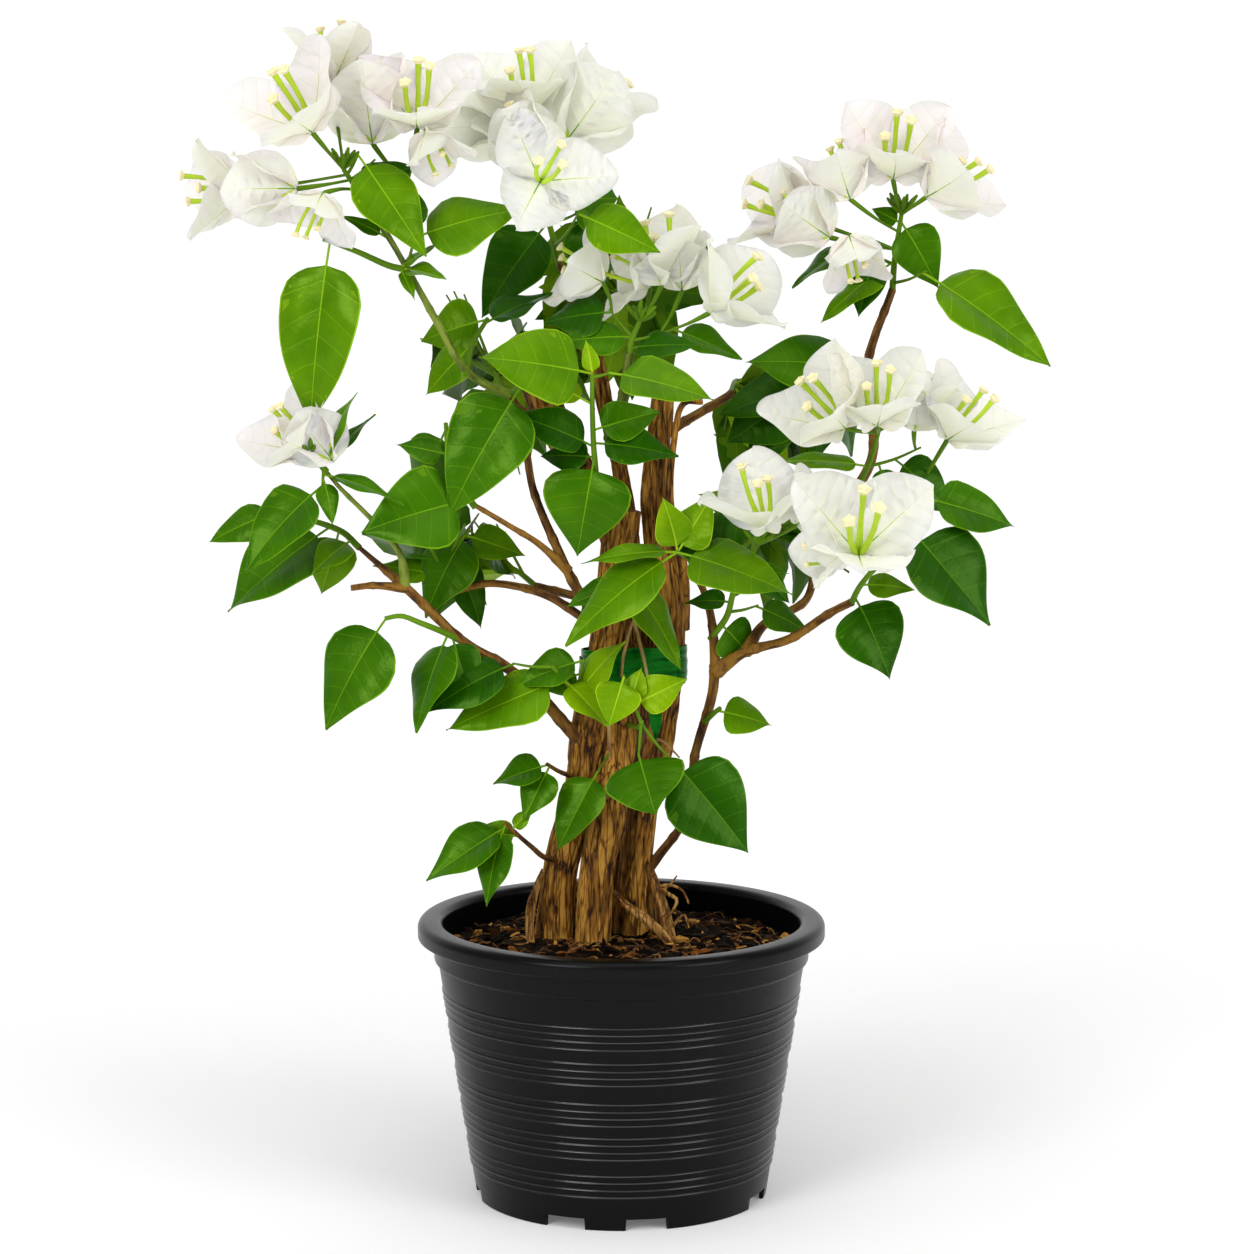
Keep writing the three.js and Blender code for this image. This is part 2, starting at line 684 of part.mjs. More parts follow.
// A leaf is [place, bearing, lean, length, width, turn].
// A flower is [place, joint, bearing, lean, spin, size of a bract, spread of the bracts].
const SPRAYS = {
  foliage_top_far_left: {
    stem: [[-118, -40, 494], [-125, -41, 504], [-133, -42, 516]],
    twigs: [[0.2, 78, 10, 38], [0.1, 40, -35, 28], [0.8, 40, -20, 16]],
    leaves: [
      [1.95, -80, 25, 40, 28, 50],
      [2.9, -85, 0, 32, 24, 34],
      [0.4, -137, 10, 28, 18, 50],
      [0.7, 20, -30, 34, 22, 40],
    ],
    flowers: [
      [0.99, [-149, -54, 536], 115, 35, 0, 43, 62],
      [3.9, [-131, -14, 549], 105, 0, 40, 34, 50],
      [3.9, [-123, -28, 529], 82, 12, 0, 44, 34],
      [2.9, [-98, -30, 536], 88, 25, 0, 42, 52],
      [0.9, [-187, 0, 503], 178, 15, 60, 26, 60],
      [0.6, [-154, -42, 507], -100, 20, 0, 40, 70],
    ],
  },
  foliage_hanging_left: {
    stem: [[-103, -36, 468], [-112, -39, 470], [-125, -44, 477], [-133, -47, 479]],
    leaves: [
      [0.7, -106, 12, 80, 44, 25],
      [0.2, 8, 40, 24, 14, 40],
    ],
  },
  foliage_top_left: {
    stem: [[-31, 26, 469], [-36, 28, 488], [-42, 26, 510]],
    twigs: [[0.5, 20, -40, 24], [0.3, 15, 45, 26]],
    leaves: [
      [0.75, -157, 20, 50, 30, 42],
      [0.5, -132, 10, 55, 34, 26],
      [1.9, -34, 0, 32, 22, 20],
      [2.9, -25, 10, 34, 22, 29],
      [2.4, -61, 0, 28, 18, 35],
      [0.3, 160, -40, 36, 24, 50],
    ],
    flowers: [
      [0.9, [-50, 22, 540], 100, 10, 0, 42, 62],
      [0.9, [-26, 12, 529], 50, 10, 30, 44, 58],
      [0.99, [-39, -22, 510], 60, 60, 25, 34, 75],
      [0.99, [-50, 5, 517], 105, 0, 180, 34, 25],
    ],
  },
  foliage_top_middle: {
    stem: [[4, -9, 426], [5, -10, 432], [9, -6, 441]],
    twigs: [[0.5, 15, -10, 24], [0.6, 130, -10, 18]],
    leaves: [
      [0.3, 169, 15, 30, 19, 24],
      [0.2, 10, 20, 30, 18, 55],
      [1.9, -19, 5, 32, 20, 49],
      [2.9, -178, 0, 28, 18, 29],
    ],
    flowers: [
      [2.9, [-10, 2, 447], 140, 15, 0, 28, 50],
      [0.99, [10, -6, 458], 88, 26, 0, 32, 42],
      [1.6, [29, 0, 456], 95, 10, 0, 36, 38],
      [1.9, [44, -12, 445], 45, 20, 180, 38, 50],
    ],
  },
  foliage_top_far_right: {
    stem: [[137, 50, 454], [138, 49, 470], [141, 47, 492]],
    twigs: [[0.1, 25, 50, 26], [0.4, 150, 20, 26]],
    leaves: [
      [1.9, -32, 12, 66, 38, 50],
      [2.9, -143, 10, 34, 18, 60],
      [0.3, -149, 25, 40, 16, 60],
      [0.35, -104, 30, 27, 20, 38],
      [0.6, -48, 30, 36, 26, 15],
    ],
    flowers: [
      [0.99, [140, 40, 510], 90, 15, 0, 42, 42],
      [0.99, [153, 28, 501], 40, 20, 0, 40, 55],
      [0.8, [114, 30, 497], 120, 20, 0, 32, 55],
      [0.6, [90, 48, 496], 150, 20, 0, 38, 58],
    ],
  },
  foliage_right_high: {
    stem: [[115, 25, 350], [120, 8, 362], [124, -8, 376], [126, -20, 388]],
    twigs: [[0.5, 20, 0, 28], [0.2, -10, -5, 32]],
    leaves: [
      [0.5, 172, 10, 42, 16, 60],
      [1.95, -32, 0, 24, 15, 36],
      [1.7, -48, 20, 22, 14, 30],
      [0.3, -150, -10, 36, 22, 45],
    ],
    flowers: [
      [0.99, [108, -30, 396], 135, 30, 0, 38, 60],
      [0.99, [124, -38, 403], 90, 30, 0, 34, 55],
      [1.9, [145, -10, 388], 80, 0, 60, 26, 45],
      [2.9, [159, -12, 388], 55, 25, 0, 36, 55],
    ],
  },
  foliage_right_behind: {
    stem: [[124, 42, 416], [112, 50, 411], [98, 54, 404], [82, 58, 396]],
    leaves: [
      [0.1, 172, 20, 50, 30, 45],
      [0.9, -149, 20, 40, 26, 45],
      [0.95, 150, 15, 46, 28, 50],
      [0.6, -120, 15, 46, 28, 40],
      [0.5, -60, -20, 44, 28, 50],
      [0.8, 100, -10, 36, 24, 50],
    ],
  },
  foliage_right_front: {
    stem: [[112, -50, 308], [114, -60, 315], [117, -72, 322], [124, -78, 332]],
    twigs: [[0.6, 38, 5, 34], [1.8, 5, -50, 24]],
    leaves: [
      [1.95, -54, 10, 58, 38, 33],
      [2.9, -22, 0, 38, 24, 45],
      [1.6, -60, 20, 24, 16, 20],
      [0.5, 5, 10, 22, 14, 40],
      [0.1, -75, 30, 38, 30, 10],
    ],
    flowers: [[0.99, [112, -100, 339], 90, 50, 0, 48, 48]],
  },
  foliage_centre_right: {
    stem: [[45, -15, 286], [52, -22, 297], [55, -30, 310], [60, -40, 324], [66, -50, 336]],
    twigs: [[0.3, 10, -20, 16]],
    leaves: [
      [0.8, -60, -10, 24, 16, 20],
      [0.6, -8, 10, 20, 13, 50],
      [1.9, -20, 0, 26, 18, 35],
      [0.3, -120, -5, 22, 14, 20],
    ],
    flowers: [
      [0.99, [69, -55, 345], 120, 20, 0, 38, 58],
      [0.99, [82, -42, 347], 45, 20, 0, 28, 50],
    ],
  },
  foliage_left_flower: {
    stem: [[-144, -42, 372], [-147, -44, 376], [-150, -48, 380]],
    leaves: [
      [0.2, 78, 10, 40, 20, 55],
      [0.1, 55, -25, 30, 20, 60],
      [0.5, -141, 20, 48, 30, 42],
      [0.3, -98, 38, 30, 20, 50],
    ],
    flowers: [[0.99, [-153, -54, 386], 130, 40, 0, 34, 60]],
  },
  foliage_left_outer: {
    stem: [[-130, -20, 332], [-137, -16, 338], [-148, -12, 342], [-162, -6, 345], [-172, 0, 347]],
    leaves: [
      [0.4, -149, 20, 64, 42, 45],
      [0.3, -106, 0, 30, 24, 10],
      [0.98, -160, 5, 28, 18, 38],
      [0.1, -152, 50, 28, 18, 44],
    ],
  },
  foliage_left_middle: {
    stem: [[-72, -36, 354], [-78, -34, 362], [-84, -28, 376], [-86, -18, 392]],
    leaves: [
      [0.1, -167, 20, 52, 34, 28],
      [0.95, -115, -10, 44, 30, 31],
      [0.7, 175, 10, 24, 15, 30],
      [0.3, -140, -20, 34, 24, 20],
      [0.6, 120, 0, 20, 13, 30],
    ],
  },
  foliage_left_upper: {
    stem: [[-54, -24, 406], [-48, -34, 412], [-42, -40, 412]],
    leaves: [
      [0.98, -126, 15, 68, 42, 12],
      [0.5, 58, 0, 30, 20, 27],
    ],
  },
  foliage_left_behind: {
    stem: [[-75, -28, 418], [-73, -14, 430], [-66, 2, 442]],
    leaves: [
      [0.98, -178, 0, 34, 26, 20],
      [0.7, -114, 5, 26, 16, 37],
      [0.9, 30, -20, 36, 24, 50],
    ],
    space: [-70, 15, 430, 45],
    seed: 3,
    twiglets: 1,
    more: 5,
  },
  foliage_centre_shoot: {
    stem: [[-2, -6, 338], [-10, -18, 354], [-13, -26, 376], [-14, -29, 398], [-15, -30, 414]],
    twigs: [[0.97, 15, 10, 9]],
    leaves: [
      [0.5, -101, 12, 42, 42, 5],
      [0.6, 150, 10, 38, 24, 45],
      [0.62, -3, 5, 36, 24, 36],
      [0.55, 175, -20, 26, 17, 30],
      [0.9, 171, 35, 54, 38, 10],
      [1.95, -4, 20, 50, 30, 55],
      [0.98, 78, 0, 20, 13, 20],
      [0.8, 165, -10, 24, 15, 10],
      [0.7, 15, -15, 34, 22, 30],
    ],
  },
  foliage_left_low_front: {
    stem: [[-80, -25, 286], [-88, -32, 291], [-98, -38, 296], [-108, -42, 302]],
    leaves: [
      [0.98, -127, 12, 56, 38, 34],
      [0.3, -119, 30, 50, 30, 50],
      [0.5, -60, 30, 30, 18, 50],
    ],
  },
  foliage_left_low_back: {
    stem: [[-91, 12, 302], [-92, 14, 314], [-84, 14, 326], [-76, 16, 336]],
    leaves: [
      [0.98, -125, 20, 42, 30, 36],
      [0.9, -17, 0, 28, 19, 20],
      [0.98, -40, -35, 44, 28, 50],
      [0.3, 170, -10, 30, 20, 40],
    ],
    space: [-80, 40, 320, 52],
    seed: 11,
    twiglets: 2,
    more: 8,
  },
  foliage_middle_left: {
    stem: [[-12, -4, 250], [-19, -20, 256], [-26, -29, 264], [-34, -32, 274]],
    leaves: [
      [0.7, -157, 10, 54, 32, 48],
      [0.98, -172, 5, 34, 22, 45],
      [0.8, -130, 5, 22, 17, 10],
      [0.4, -24, 25, 28, 18, 45],
      [0.98, 160, -30, 30, 20, 40],
    ],
  },
  foliage_front_high: {
    stem: [[34, -20, 325], [32, -30, 328], [30, -40, 330], [27, -48, 332]],
    leaves: [
      [0.98, -145, 12, 58, 34, 50],
      [0.6, -174, 5, 40, 18, 70],
      [0.9, 84, -8, 26, 18, 25],
      [0.98, 52, 50, 32, 16, 31],
      [0.98, -15, 28, 50, 32, 50],
      [0.3, -60, -10, 30, 20, 40],
    ],
  },
  foliage_front_middle: {
    stem: [[-3, -5, 300], [0, -18, 305], [1, -26, 314], [1, -30, 320]],
    leaves: [
      [0.98, -47, 5, 50, 32, 55],
      [0.8, -138, 10, 28, 18, 38],
      [0.6, -170, 20, 26, 17, 45],
    ],
  },
  foliage_front_low: {
    stem: [[2, 2, 240], [8, -24, 242], [10, -44, 248]],
    twigs: [[0.95, -95, 8, 22], [0.9, -55, 5, 30], [0.95, 112, 5, 18], [0.5, -138, 10, 28]],
    leaves: [
      [1.97, -42, 12, 36, 42, 5],
      [2.95, -48, 8, 56, 36, 25],
      [3.95, -107, 15, 24, 19, 5],
      [0.98, 18, 10, 27, 20, 15],
      [0.98, 118, -10, 22, 16, 20],
      [4.95, -121, 15, 40, 24, 40],
    ],
  },
  foliage_right_small: {
    stem: [[41, -9, 242], [45, -16, 247], [49, -20, 251]],
    leaves: [
      [0.95, -12, 5, 26, 18, 30],
      [0.7, -40, 10, 22, 14, 57],
    ],
  },
  foliage_low_left: {
    stem: [[-29, 2, 170], [-38, -12, 174], [-46, -18, 182], [-58, -24, 194]],
    leaves: [
      [0.95, -147, 12, 42, 26, 48],
      [0.7, 172, 0, 20, 14, 10],
      [0.75, -120, 20, 34, 21, 45],
      [0.8, 66, -25, 24, 15, 40],
    ],
  },
  foliage_low_middle: {
    stem: [[-19, 0, 212], [-29, -13, 217], [-37, -20, 223]],
    leaves: [
      [0.95, -164, 5, 25, 17, 24],
      [0.9, -111, 22, 28, 18, 41],
    ],
  },
  foliage_back_left: {
    stem: [[-60, 66, 402], [-66, 82, 410], [-70, 98, 414]],
    space: [-64, 96, 400, 58],
    seed: 21,
    twiglets: 4,
    more: 15,
  },
  foliage_back_top: {
    stem: [[-2, 56, 446], [2, 76, 452], [6, 94, 456]],
    space: [6, 96, 446, 57],
    seed: 33,
    twiglets: 4,
    more: 13,
  },
  foliage_back_right: {
    stem: [[56, 62, 400], [58, 83, 404], [60, 104, 404]],
    space: [58, 110, 392, 58],
    seed: 47,
    twiglets: 4,
    more: 13,
  },
  foliage_back_low_right: {
    stem: [[60, 68, 320], [72, 84, 326], [80, 98, 328]],
    space: [74, 98, 320, 54],
    seed: 52,
    twiglets: 3,
    more: 12,
  },
  foliage_back_low_left: {
    stem: [[-44, 70, 300], [-54, 86, 306], [-62, 100, 308]],
    space: [-56, 98, 302, 52],
    seed: 68,
    twiglets: 3,
    more: 12,
  },
};

for (const [name, spray] of Object.entries(SPRAYS)) {
  addNode(name, makeSpray(spray), COLOURS.foliage, 0.6);
}

export default plant;
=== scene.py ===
import bpy
import numpy as np
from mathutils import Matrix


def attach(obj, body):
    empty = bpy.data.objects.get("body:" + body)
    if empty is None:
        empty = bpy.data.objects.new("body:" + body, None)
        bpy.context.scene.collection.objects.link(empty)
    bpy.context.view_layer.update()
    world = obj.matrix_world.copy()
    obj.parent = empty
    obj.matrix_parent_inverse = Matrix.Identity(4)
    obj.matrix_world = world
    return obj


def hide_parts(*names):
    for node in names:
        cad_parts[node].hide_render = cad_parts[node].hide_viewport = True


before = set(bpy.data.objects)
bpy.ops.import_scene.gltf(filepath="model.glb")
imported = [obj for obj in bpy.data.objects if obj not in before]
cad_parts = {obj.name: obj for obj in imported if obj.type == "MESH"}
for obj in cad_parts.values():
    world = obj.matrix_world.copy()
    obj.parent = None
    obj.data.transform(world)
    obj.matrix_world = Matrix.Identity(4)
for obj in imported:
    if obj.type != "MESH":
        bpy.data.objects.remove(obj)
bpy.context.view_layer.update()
MM = 0.001

# Camera: it stands in front of the plant, a little above the pot's rim, and looks slightly down.
CAMERA_PLACE = np.array([2.85, -1900, 554.5]) * MM
CAMERA_DIP = 0.139  # radians below the horizontal
CAMERA_LENS = 110.5
CAMERA_SENSOR = 36.0

camera = bpy.data.objects.new("camera", bpy.data.cameras.new("camera"))
camera.data.lens = CAMERA_LENS
camera.data.sensor_width = CAMERA_SENSOR
camera.location = CAMERA_PLACE
camera.rotation_euler = (np.pi / 2 - CAMERA_DIP, 0, 0)
bpy.context.scene.collection.objects.link(camera)
bpy.context.scene.camera = camera


# Stage: a pale sheet that is the floor and curves up far behind the plant. It is lit from below as
# well, like a light table, so that it stays white, and the studio lights are soft. Its glow is
# weaker round the pot, which paints a shadow there.
FLOOR_FRONT = -2.4
FLOOR_BACK = 2.6
FLOOR_HALF = 4.0
WALL_HEIGHT = 4.0
COVE = 1.2  # radius of the curve between floor and wall
# Painted shadow: the floor glows less round the pot than far behind it.
POT_SHADOW_GLOW = 0.13  # round the pot
WALL_GLOW = 0.33  # far behind it
GLOW_FROM, GLOW_TO = 0.12, 0.9  # distances over which the first becomes the second
GLOSS = 0.14  # of what is not said to be glossier
LIGHTS = {  # place, size and power
    "key_light": ((-1.3, -1.9, 1.35), 1.0, 25),
    "fill_light": ((1.8, -1.5, 1.1), 1.2, 20),
    "top_light": ((0, -0.9, 2.2), 1.9, 15),
}
LIT_POINT = (0, 0, 0.3)
WORLD_STRENGTH = 0.4


def build_mesh(name, batches, materials, sharp=60):
    """One mesh from batches of like surfaces. A batch is (points, slots) or (points, slots, looped).
    points are copies x rows x columns x 3. Neighbouring points make four-sided faces, the columns
    close round, and the first and last rows are capped, unless looped joins them to each other.
    slots is the material's number: one for all faces, one for each face in rows x columns, or
    those of each copy."""
    points, corners, sizes, slots = [], [], [], []
    count = 0
    for batch in batches:
        p, slot = batch[0], batch[1]
        looped = len(batch) > 2 and batch[2]
        copies, rows, columns = p.shape[:3]
        number = np.arange(rows * columns).reshape(rows, columns)
        if looped:
            number = np.vstack([number, number[:1]])
        right = np.roll(number, -1, axis=1)
        quads = np.stack([number[:-1], right[:-1], right[1:], number[1:]], axis=-1).reshape(-1, 4)
        first = count + np.arange(copies)[:, None] * rows * columns
        corners.append((first[..., None] + quads).ravel())
        sizes.append(np.full(copies * len(quads), 4))
        slot = np.broadcast_to(slot, (copies, number.shape[0] - 1, columns))
        slots.append(slot.ravel())
        if not looped:
            for ring, band in ((number[0][::-1], slot[:, 0, 0]), (number[-1], slot[:, -1, 0])):
                corners.append((first + ring).ravel())
                sizes.append(np.full(copies, columns))
                slots.append(band)
        points.append(p.reshape(-1, 3))
        count += copies * rows * columns
    points, corners, sizes, slots = (np.concatenate(a) for a in (points, corners, sizes, slots))
    mesh = bpy.data.meshes.new(name)
    mesh.vertices.add(len(points))
    mesh.vertices.foreach_set("co", points.astype(np.float32).ravel())
    mesh.loops.add(len(corners))
    mesh.loops.foreach_set("vertex_index", corners.astype(np.int32))
    mesh.polygons.add(len(sizes))
    mesh.polygons.foreach_set("loop_start", np.r_[0, np.cumsum(sizes)[:-1]].astype(np.int32))
    mesh.polygons.foreach_set("material_index", slots.astype(np.int32))
    mesh.polygons.foreach_set("use_smooth", np.ones(len(sizes), bool))
    mesh.update(calc_edges=True)
    mesh.validate()
    mesh.set_sharp_from_angle(angle=np.radians(sharp))
    for material in materials:
        mesh.materials.append(material)
    piece = bpy.data.objects.new(name, mesh)
    bpy.context.scene.collection.objects.link(piece)
    return piece


def material_of(name, colour, roughness, **sockets):
    """A material of one colour, with its node tree and shader, which the caller may add to."""
    material = bpy.data.materials.new(name)
    material.use_nodes = True
    shader = material.node_tree.nodes["Principled BSDF"]
    shader.inputs["Base Color"].default_value = (*colour, 1)
    shader.inputs["Roughness"].default_value = roughness
    shader.inputs["Specular IOR Level"].default_value = GLOSS
    for socket, value in sockets.items():
        shader.inputs[socket.replace("_", " ")].default_value = value
    return material, material.node_tree, shader


def add_node(tree, kind, sockets, **settings):
    """A shader node with its settings. Each socket is given a value, or is linked to the output of
    another node."""
    node = tree.nodes.new("ShaderNode" + kind)
    for name, value in settings.items():
        setattr(node, name, value)
    for socket, value in sockets.items():
        if isinstance(value, bpy.types.NodeSocket):
            tree.links.new(value, node.inputs[socket])
        else:
            node.inputs[socket].default_value = value
    return node


def object_place(tree):
    """The place of a point on the piece."""
    return add_node(tree, "TexCoord", {}).outputs["Object"]


def ranged(tree, value, sockets):
    """A value carried over from one range to another, held at the ends."""
    return add_node(tree, "MapRange", {"Value": value, **sockets}).outputs["Result"]


def make_floor():
    """A strip carried across: flat floor, a quarter circle of the cove, then the upright wall."""
    turn = np.linspace(0, np.pi / 2, 24)
    y = np.r_[FLOOR_FRONT, FLOOR_BACK - COVE + COVE * np.sin(turn), FLOOR_BACK]
    z = np.r_[0, COVE - COVE * np.cos(turn), WALL_HEIGHT]
    x = np.array([-FLOOR_HALF, FLOOR_HALF])
    points = np.stack(np.broadcast_arrays(x[None], y[:, None], z[:, None]), axis=-1).reshape(-1, 3)
    faces = [(2 * k, 2 * k + 1, 2 * k + 3, 2 * k + 2) for k in range(len(y) - 1)]
    mesh = bpy.data.meshes.new("floor")
    mesh.from_pydata(points.tolist(), [], faces)
    mesh.polygons.foreach_set("use_smooth", [True] * len(faces))
    sheet, tree, shader = material_of("pale_floor", (0.9, 0.9, 0.9), 0.9)
    shader.inputs["Emission Color"].default_value = (1, 1, 1, 1)
    # The glow grows with distance from the pot's axis, which paints a shadow round the pot.
    far = add_node(tree, "VectorMath", {0: object_place(tree)}, operation="LENGTH")
    span = {"From Min": GLOW_FROM, "From Max": GLOW_TO, "To Min": POT_SHADOW_GLOW, "To Max": WALL_GLOW}
    tree.links.new(ranged(tree, far.outputs["Value"], span), shader.inputs["Emission Strength"])
    mesh.materials.append(sheet)
    floor = bpy.data.objects.new("floor", mesh)
    bpy.context.scene.collection.objects.link(floor)


def add_light(name, place, size, power):
    """A square area light at a place, turned to look at the lit point."""
    light = bpy.data.lights.new(name, "AREA")
    light.size = size
    light.energy = power
    lamp = bpy.data.objects.new(name, light)
    lamp.location = place
    back = np.array(place, float) - np.array(LIT_POINT, float)
    flat = np.hypot(back[0], back[1])
    lamp.rotation_euler = (np.arctan2(flat, back[2]), 0, np.arctan2(back[1], back[0]) + np.pi / 2)
    bpy.context.scene.collection.objects.link(lamp)


make_floor()
for light_name, light_form in LIGHTS.items():
    add_light(light_name, *light_form)
world = bpy.data.worlds.new("studio")
world.use_nodes = True
background = world.node_tree.nodes["Background"]
background.inputs["Color"].default_value = (1, 1, 1, 1)
background.inputs["Strength"].default_value = WORLD_STRENGTH
bpy.context.scene.world = world
bpy.context.scene.view_settings.view_transform = "Standard"  # plain colours, with no film curve


# Pot: a thin moulded shell of black polypropylene with a rolled rim, five groups of four fine ridges
# and a foot ring that notches cut into pads. It is turned from one profile of radius and height.
POT_HEIGHT = 141 * MM
RIM_RADIUS = 102.5 * MM
MOUTH_RADIUS = 89.8 * MM
COLLAR_RADIUS = 94.3 * MM
COLLAR_BOTTOM = 122 * MM
RIM_LIP = 9 * MM
FOOT_RADIUS = 73.5 * MM
WALL = 2 * MM
FLOOR_RISE = 6.5 * MM
RIDGE_GROUPS = np.array([17.23, 37.03, 54.63, 75.63, 94.13]) * MM  # lowest crest of each
RIDGES = 4
RIDGE_PITCH = 3.7 * MM
RIDGE_PROUD = 0.7 * MM
RIDGE_HALF = 0.85 * MM
RUBBED_EDGE = 0.6 * MM
ROUND_EDGE = 3.7 * MM
SMALL_ROUND = 1.2 * MM
CHAMFER = 0.3 * MM
AXIS_HOLE = 0.5 * MM  # the profile ends this near to the axis
POT_BLACK = (0.0015, 0.0015, 0.0018)
PAD_TURNS = 4  # pairs of a narrow and a wide pad round the foot ring
NARROW_PAD, WIDE_PAD, NOTCH = 16, 42, 16  # degrees
FIRST_PAD = -96
NOTCH_HEIGHT = 6 * MM


def pot_wall(z):
    """Outside radius of the straight tapered wall at a height."""
    return FOOT_RADIUS + (COLLAR_RADIUS - WALL - FOOT_RADIUS) * z / (COLLAR_BOTTOM - 1.5 * MM)


def arc(centre, radius, start, end, steps):
    """Points of an arc round (radius, height), from one angle to another in degrees."""
    turn = np.radians(np.linspace(start, end, steps))
    return np.stack([centre[0] + radius * np.cos(turn), centre[1] + radius * np.sin(turn)], axis=-1)


def ridge_heights():
    """Heights of the crests of all the ridges."""
    return (RIDGE_GROUPS[:, None] + RIDGE_PITCH * np.arange(RIDGES)).ravel()


def pot_profile():
    """Radius and height from the middle of the underside, up the outside, over the rim and down the
    inside. The wall is a straight taper plus a raised cosine hump for each ridge."""
    z = np.arange(0.4 * MM, COLLAR_BOTTOM - 2 * MM, 0.3 * MM)
    near = np.abs(z[:, None] - ridge_heights()) / RIDGE_HALF
    hump = (0.5 + 0.5 * np.cos(np.pi * np.minimum(near, 1))).max(axis=1)
    wall = np.stack([pot_wall(z) + RIDGE_PROUD * hump, z], axis=-1)
    under_floor = pot_wall(FLOOR_RISE) - WALL
    inside_foot = pot_wall(0) - WALL
    floor_top = FLOOR_RISE + WALL
    lip = POT_HEIGHT - RIM_LIP
    round_height = POT_HEIGHT - ROUND_EDGE
    return np.vstack([
        [[AXIS_HOLE, FLOOR_RISE], [under_floor - AXIS_HOLE, FLOOR_RISE]],
        [[inside_foot, CHAMFER], [inside_foot + CHAMFER, 0], [pot_wall(0) - CHAMFER, 0]],
        wall,
        arc((COLLAR_RADIUS - 2 * MM, COLLAR_BOTTOM), 2 * MM, -60, 0, 5),
        [[COLLAR_RADIUS, lip - SMALL_ROUND]],
        arc((COLLAR_RADIUS + SMALL_ROUND, lip - SMALL_ROUND), SMALL_ROUND, 180, 90, 4)[1:],
        arc((RIM_RADIUS - SMALL_ROUND, lip + SMALL_ROUND), SMALL_ROUND, -90, 0, 5),
        arc((RIM_RADIUS - ROUND_EDGE, round_height), ROUND_EDGE, 0, 90, 10),
        [[(MOUTH_RADIUS + RIM_RADIUS) / 2, POT_HEIGHT + 0.2 * MM]],
        arc((MOUTH_RADIUS + ROUND_EDGE, round_height), ROUND_EDGE, 90, 180, 10),
        [[MOUTH_RADIUS - CHAMFER, COLLAR_BOTTOM], [pot_wall(floor_top) - WALL, floor_top]],
        [[AXIS_HOLE, floor_top]],
    ])


def pot_angles():
    """Angles round the pot: an even spread, with a close pair at each side of each notch. Says of
    each whether it is inside a notch."""
    even = np.arange(0, 360, 2)
    turns = FIRST_PAD + 360 / PAD_TURNS * np.arange(PAD_TURNS)
    after_narrow = turns + NARROW_PAD / 2
    after_wide = after_narrow + NOTCH + WIDE_PAD
    starts = np.r_[after_narrow, after_wide]
    edges = np.r_[starts, starts + NOTCH] % 360
    angles = np.sort(np.r_[even, edges - 0.25, edges + 0.25])
    inside = ((angles[:, None] - starts[None]) % 360 < NOTCH).any(axis=1)
    return np.radians(angles), inside


def turned(profile, angles):
    """Points of a profile turned round the pot's axis, profile x angles x 3."""
    radius = profile[:, None, 0]
    height = np.broadcast_to(profile[:, None, 1], (len(profile), len(angles)))
    return np.stack([radius * np.cos(angles), radius * np.sin(angles), height], axis=-1)


def noise_at(tree, place, scale, detail=2.0, roughness=0.5):
    """Fractal noise of one scale, from 0 to 1."""
    sockets = {"Vector": place, "Scale": scale, "Detail": detail, "Roughness": roughness}
    return add_node(tree, "TexNoise", sockets).outputs["Fac"]


def roughen(tree, shader, height, strength, distance):
    """Makes the light fall as if a height stood out of the surface."""
    bump = add_node(tree, "Bump", {"Height": height, "Strength": strength, "Distance": distance})
    tree.links.new(bump.outputs["Normal"], shader.inputs["Normal"])


def pot_plastic(name, gloss, smooth, rough):
    """Satin black plastic: a faint moulded grain, and roughness that drifts with handling."""
    material, tree, shader = material_of(name, POT_BLACK, rough, Specular_IOR_Level=gloss)
    place = object_place(tree)
    handled = ranged(tree, noise_at(tree, place, 22), {"To Min": smooth, "To Max": rough})
    tree.links.new(handled, shader.inputs["Roughness"])
    roughen(tree, shader, noise_at(tree, place, 900), 0.12, 0.0003)
    return material


def make_pot():
    """The turned profile, with the foot ring's lowest points lifted inside the notches. The upper
    edge of each ridge is rubbed smooth."""
    profile = pot_profile()
    angles, in_notch = pot_angles()
    points = turned(profile, angles)
    on_foot_ring = profile[:, None, 0] > FOOT_RADIUS - 3 * MM
    points[:, in_notch, 2] = np.maximum(points[:, in_notch, 2], NOTCH_HEIGHT * on_foot_ring)
    radius, z = (profile[:-1] + profile[1:]).T / 2
    above = z[:, None] - ridge_heights()
    rubbed = ((above > 0) & (above < RUBBED_EDGE)).any(axis=1) & (radius > pot_wall(z))
    slots = np.repeat(rubbed[:, None].astype(int), len(angles), axis=1)
    plastics = [
        pot_plastic("pot_plastic", 0.13, 0.22, 0.36),
        pot_plastic("rubbed_plastic", 0.65, 0.16, 0.24),
    ]
    pot = build_mesh("nursery_pot", [(points[None], slots)], plastics, sharp=70)
    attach(pot, "root")
    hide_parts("pot")


make_pot()


# Soil: dark potting mix, heaped a little round the stems, with chips of bark and loose fibres.
SOIL_EDGE = 127 * MM
SOIL_TOP = 131 * MM
SOIL_RADIUS = 88.9 * MM
SOIL_BOTTOM = 8.8 * MM
HEAP_RUN = 39 * MM  # from the wall to where it levels off
LUMP = 1.7 * MM
CHIPS = 760
CHIP_CORNERS = 5
FIBRES = 200
FIBRE_STEPS = 8
FIBRE_SIDES = 5
SOIL_DARK = (0.0025, 0.0014, 0.0008)
SOIL_LIGHT = (0.016, 0.009, 0.004)
CHIP_KINDS = {  # colour, and the share of the chips
    "chip_black": ((0.004, 0.002, 0.001), 0.56),
    "chip_brown": ((0.04, 0.014, 0.004), 0.22),
    "chip_red": ((0.2, 0.07, 0.012), 0.11),
    "chip_ochre": ((0.62, 0.3, 0.06), 0.11),
}
rng = np.random.default_rng(7)


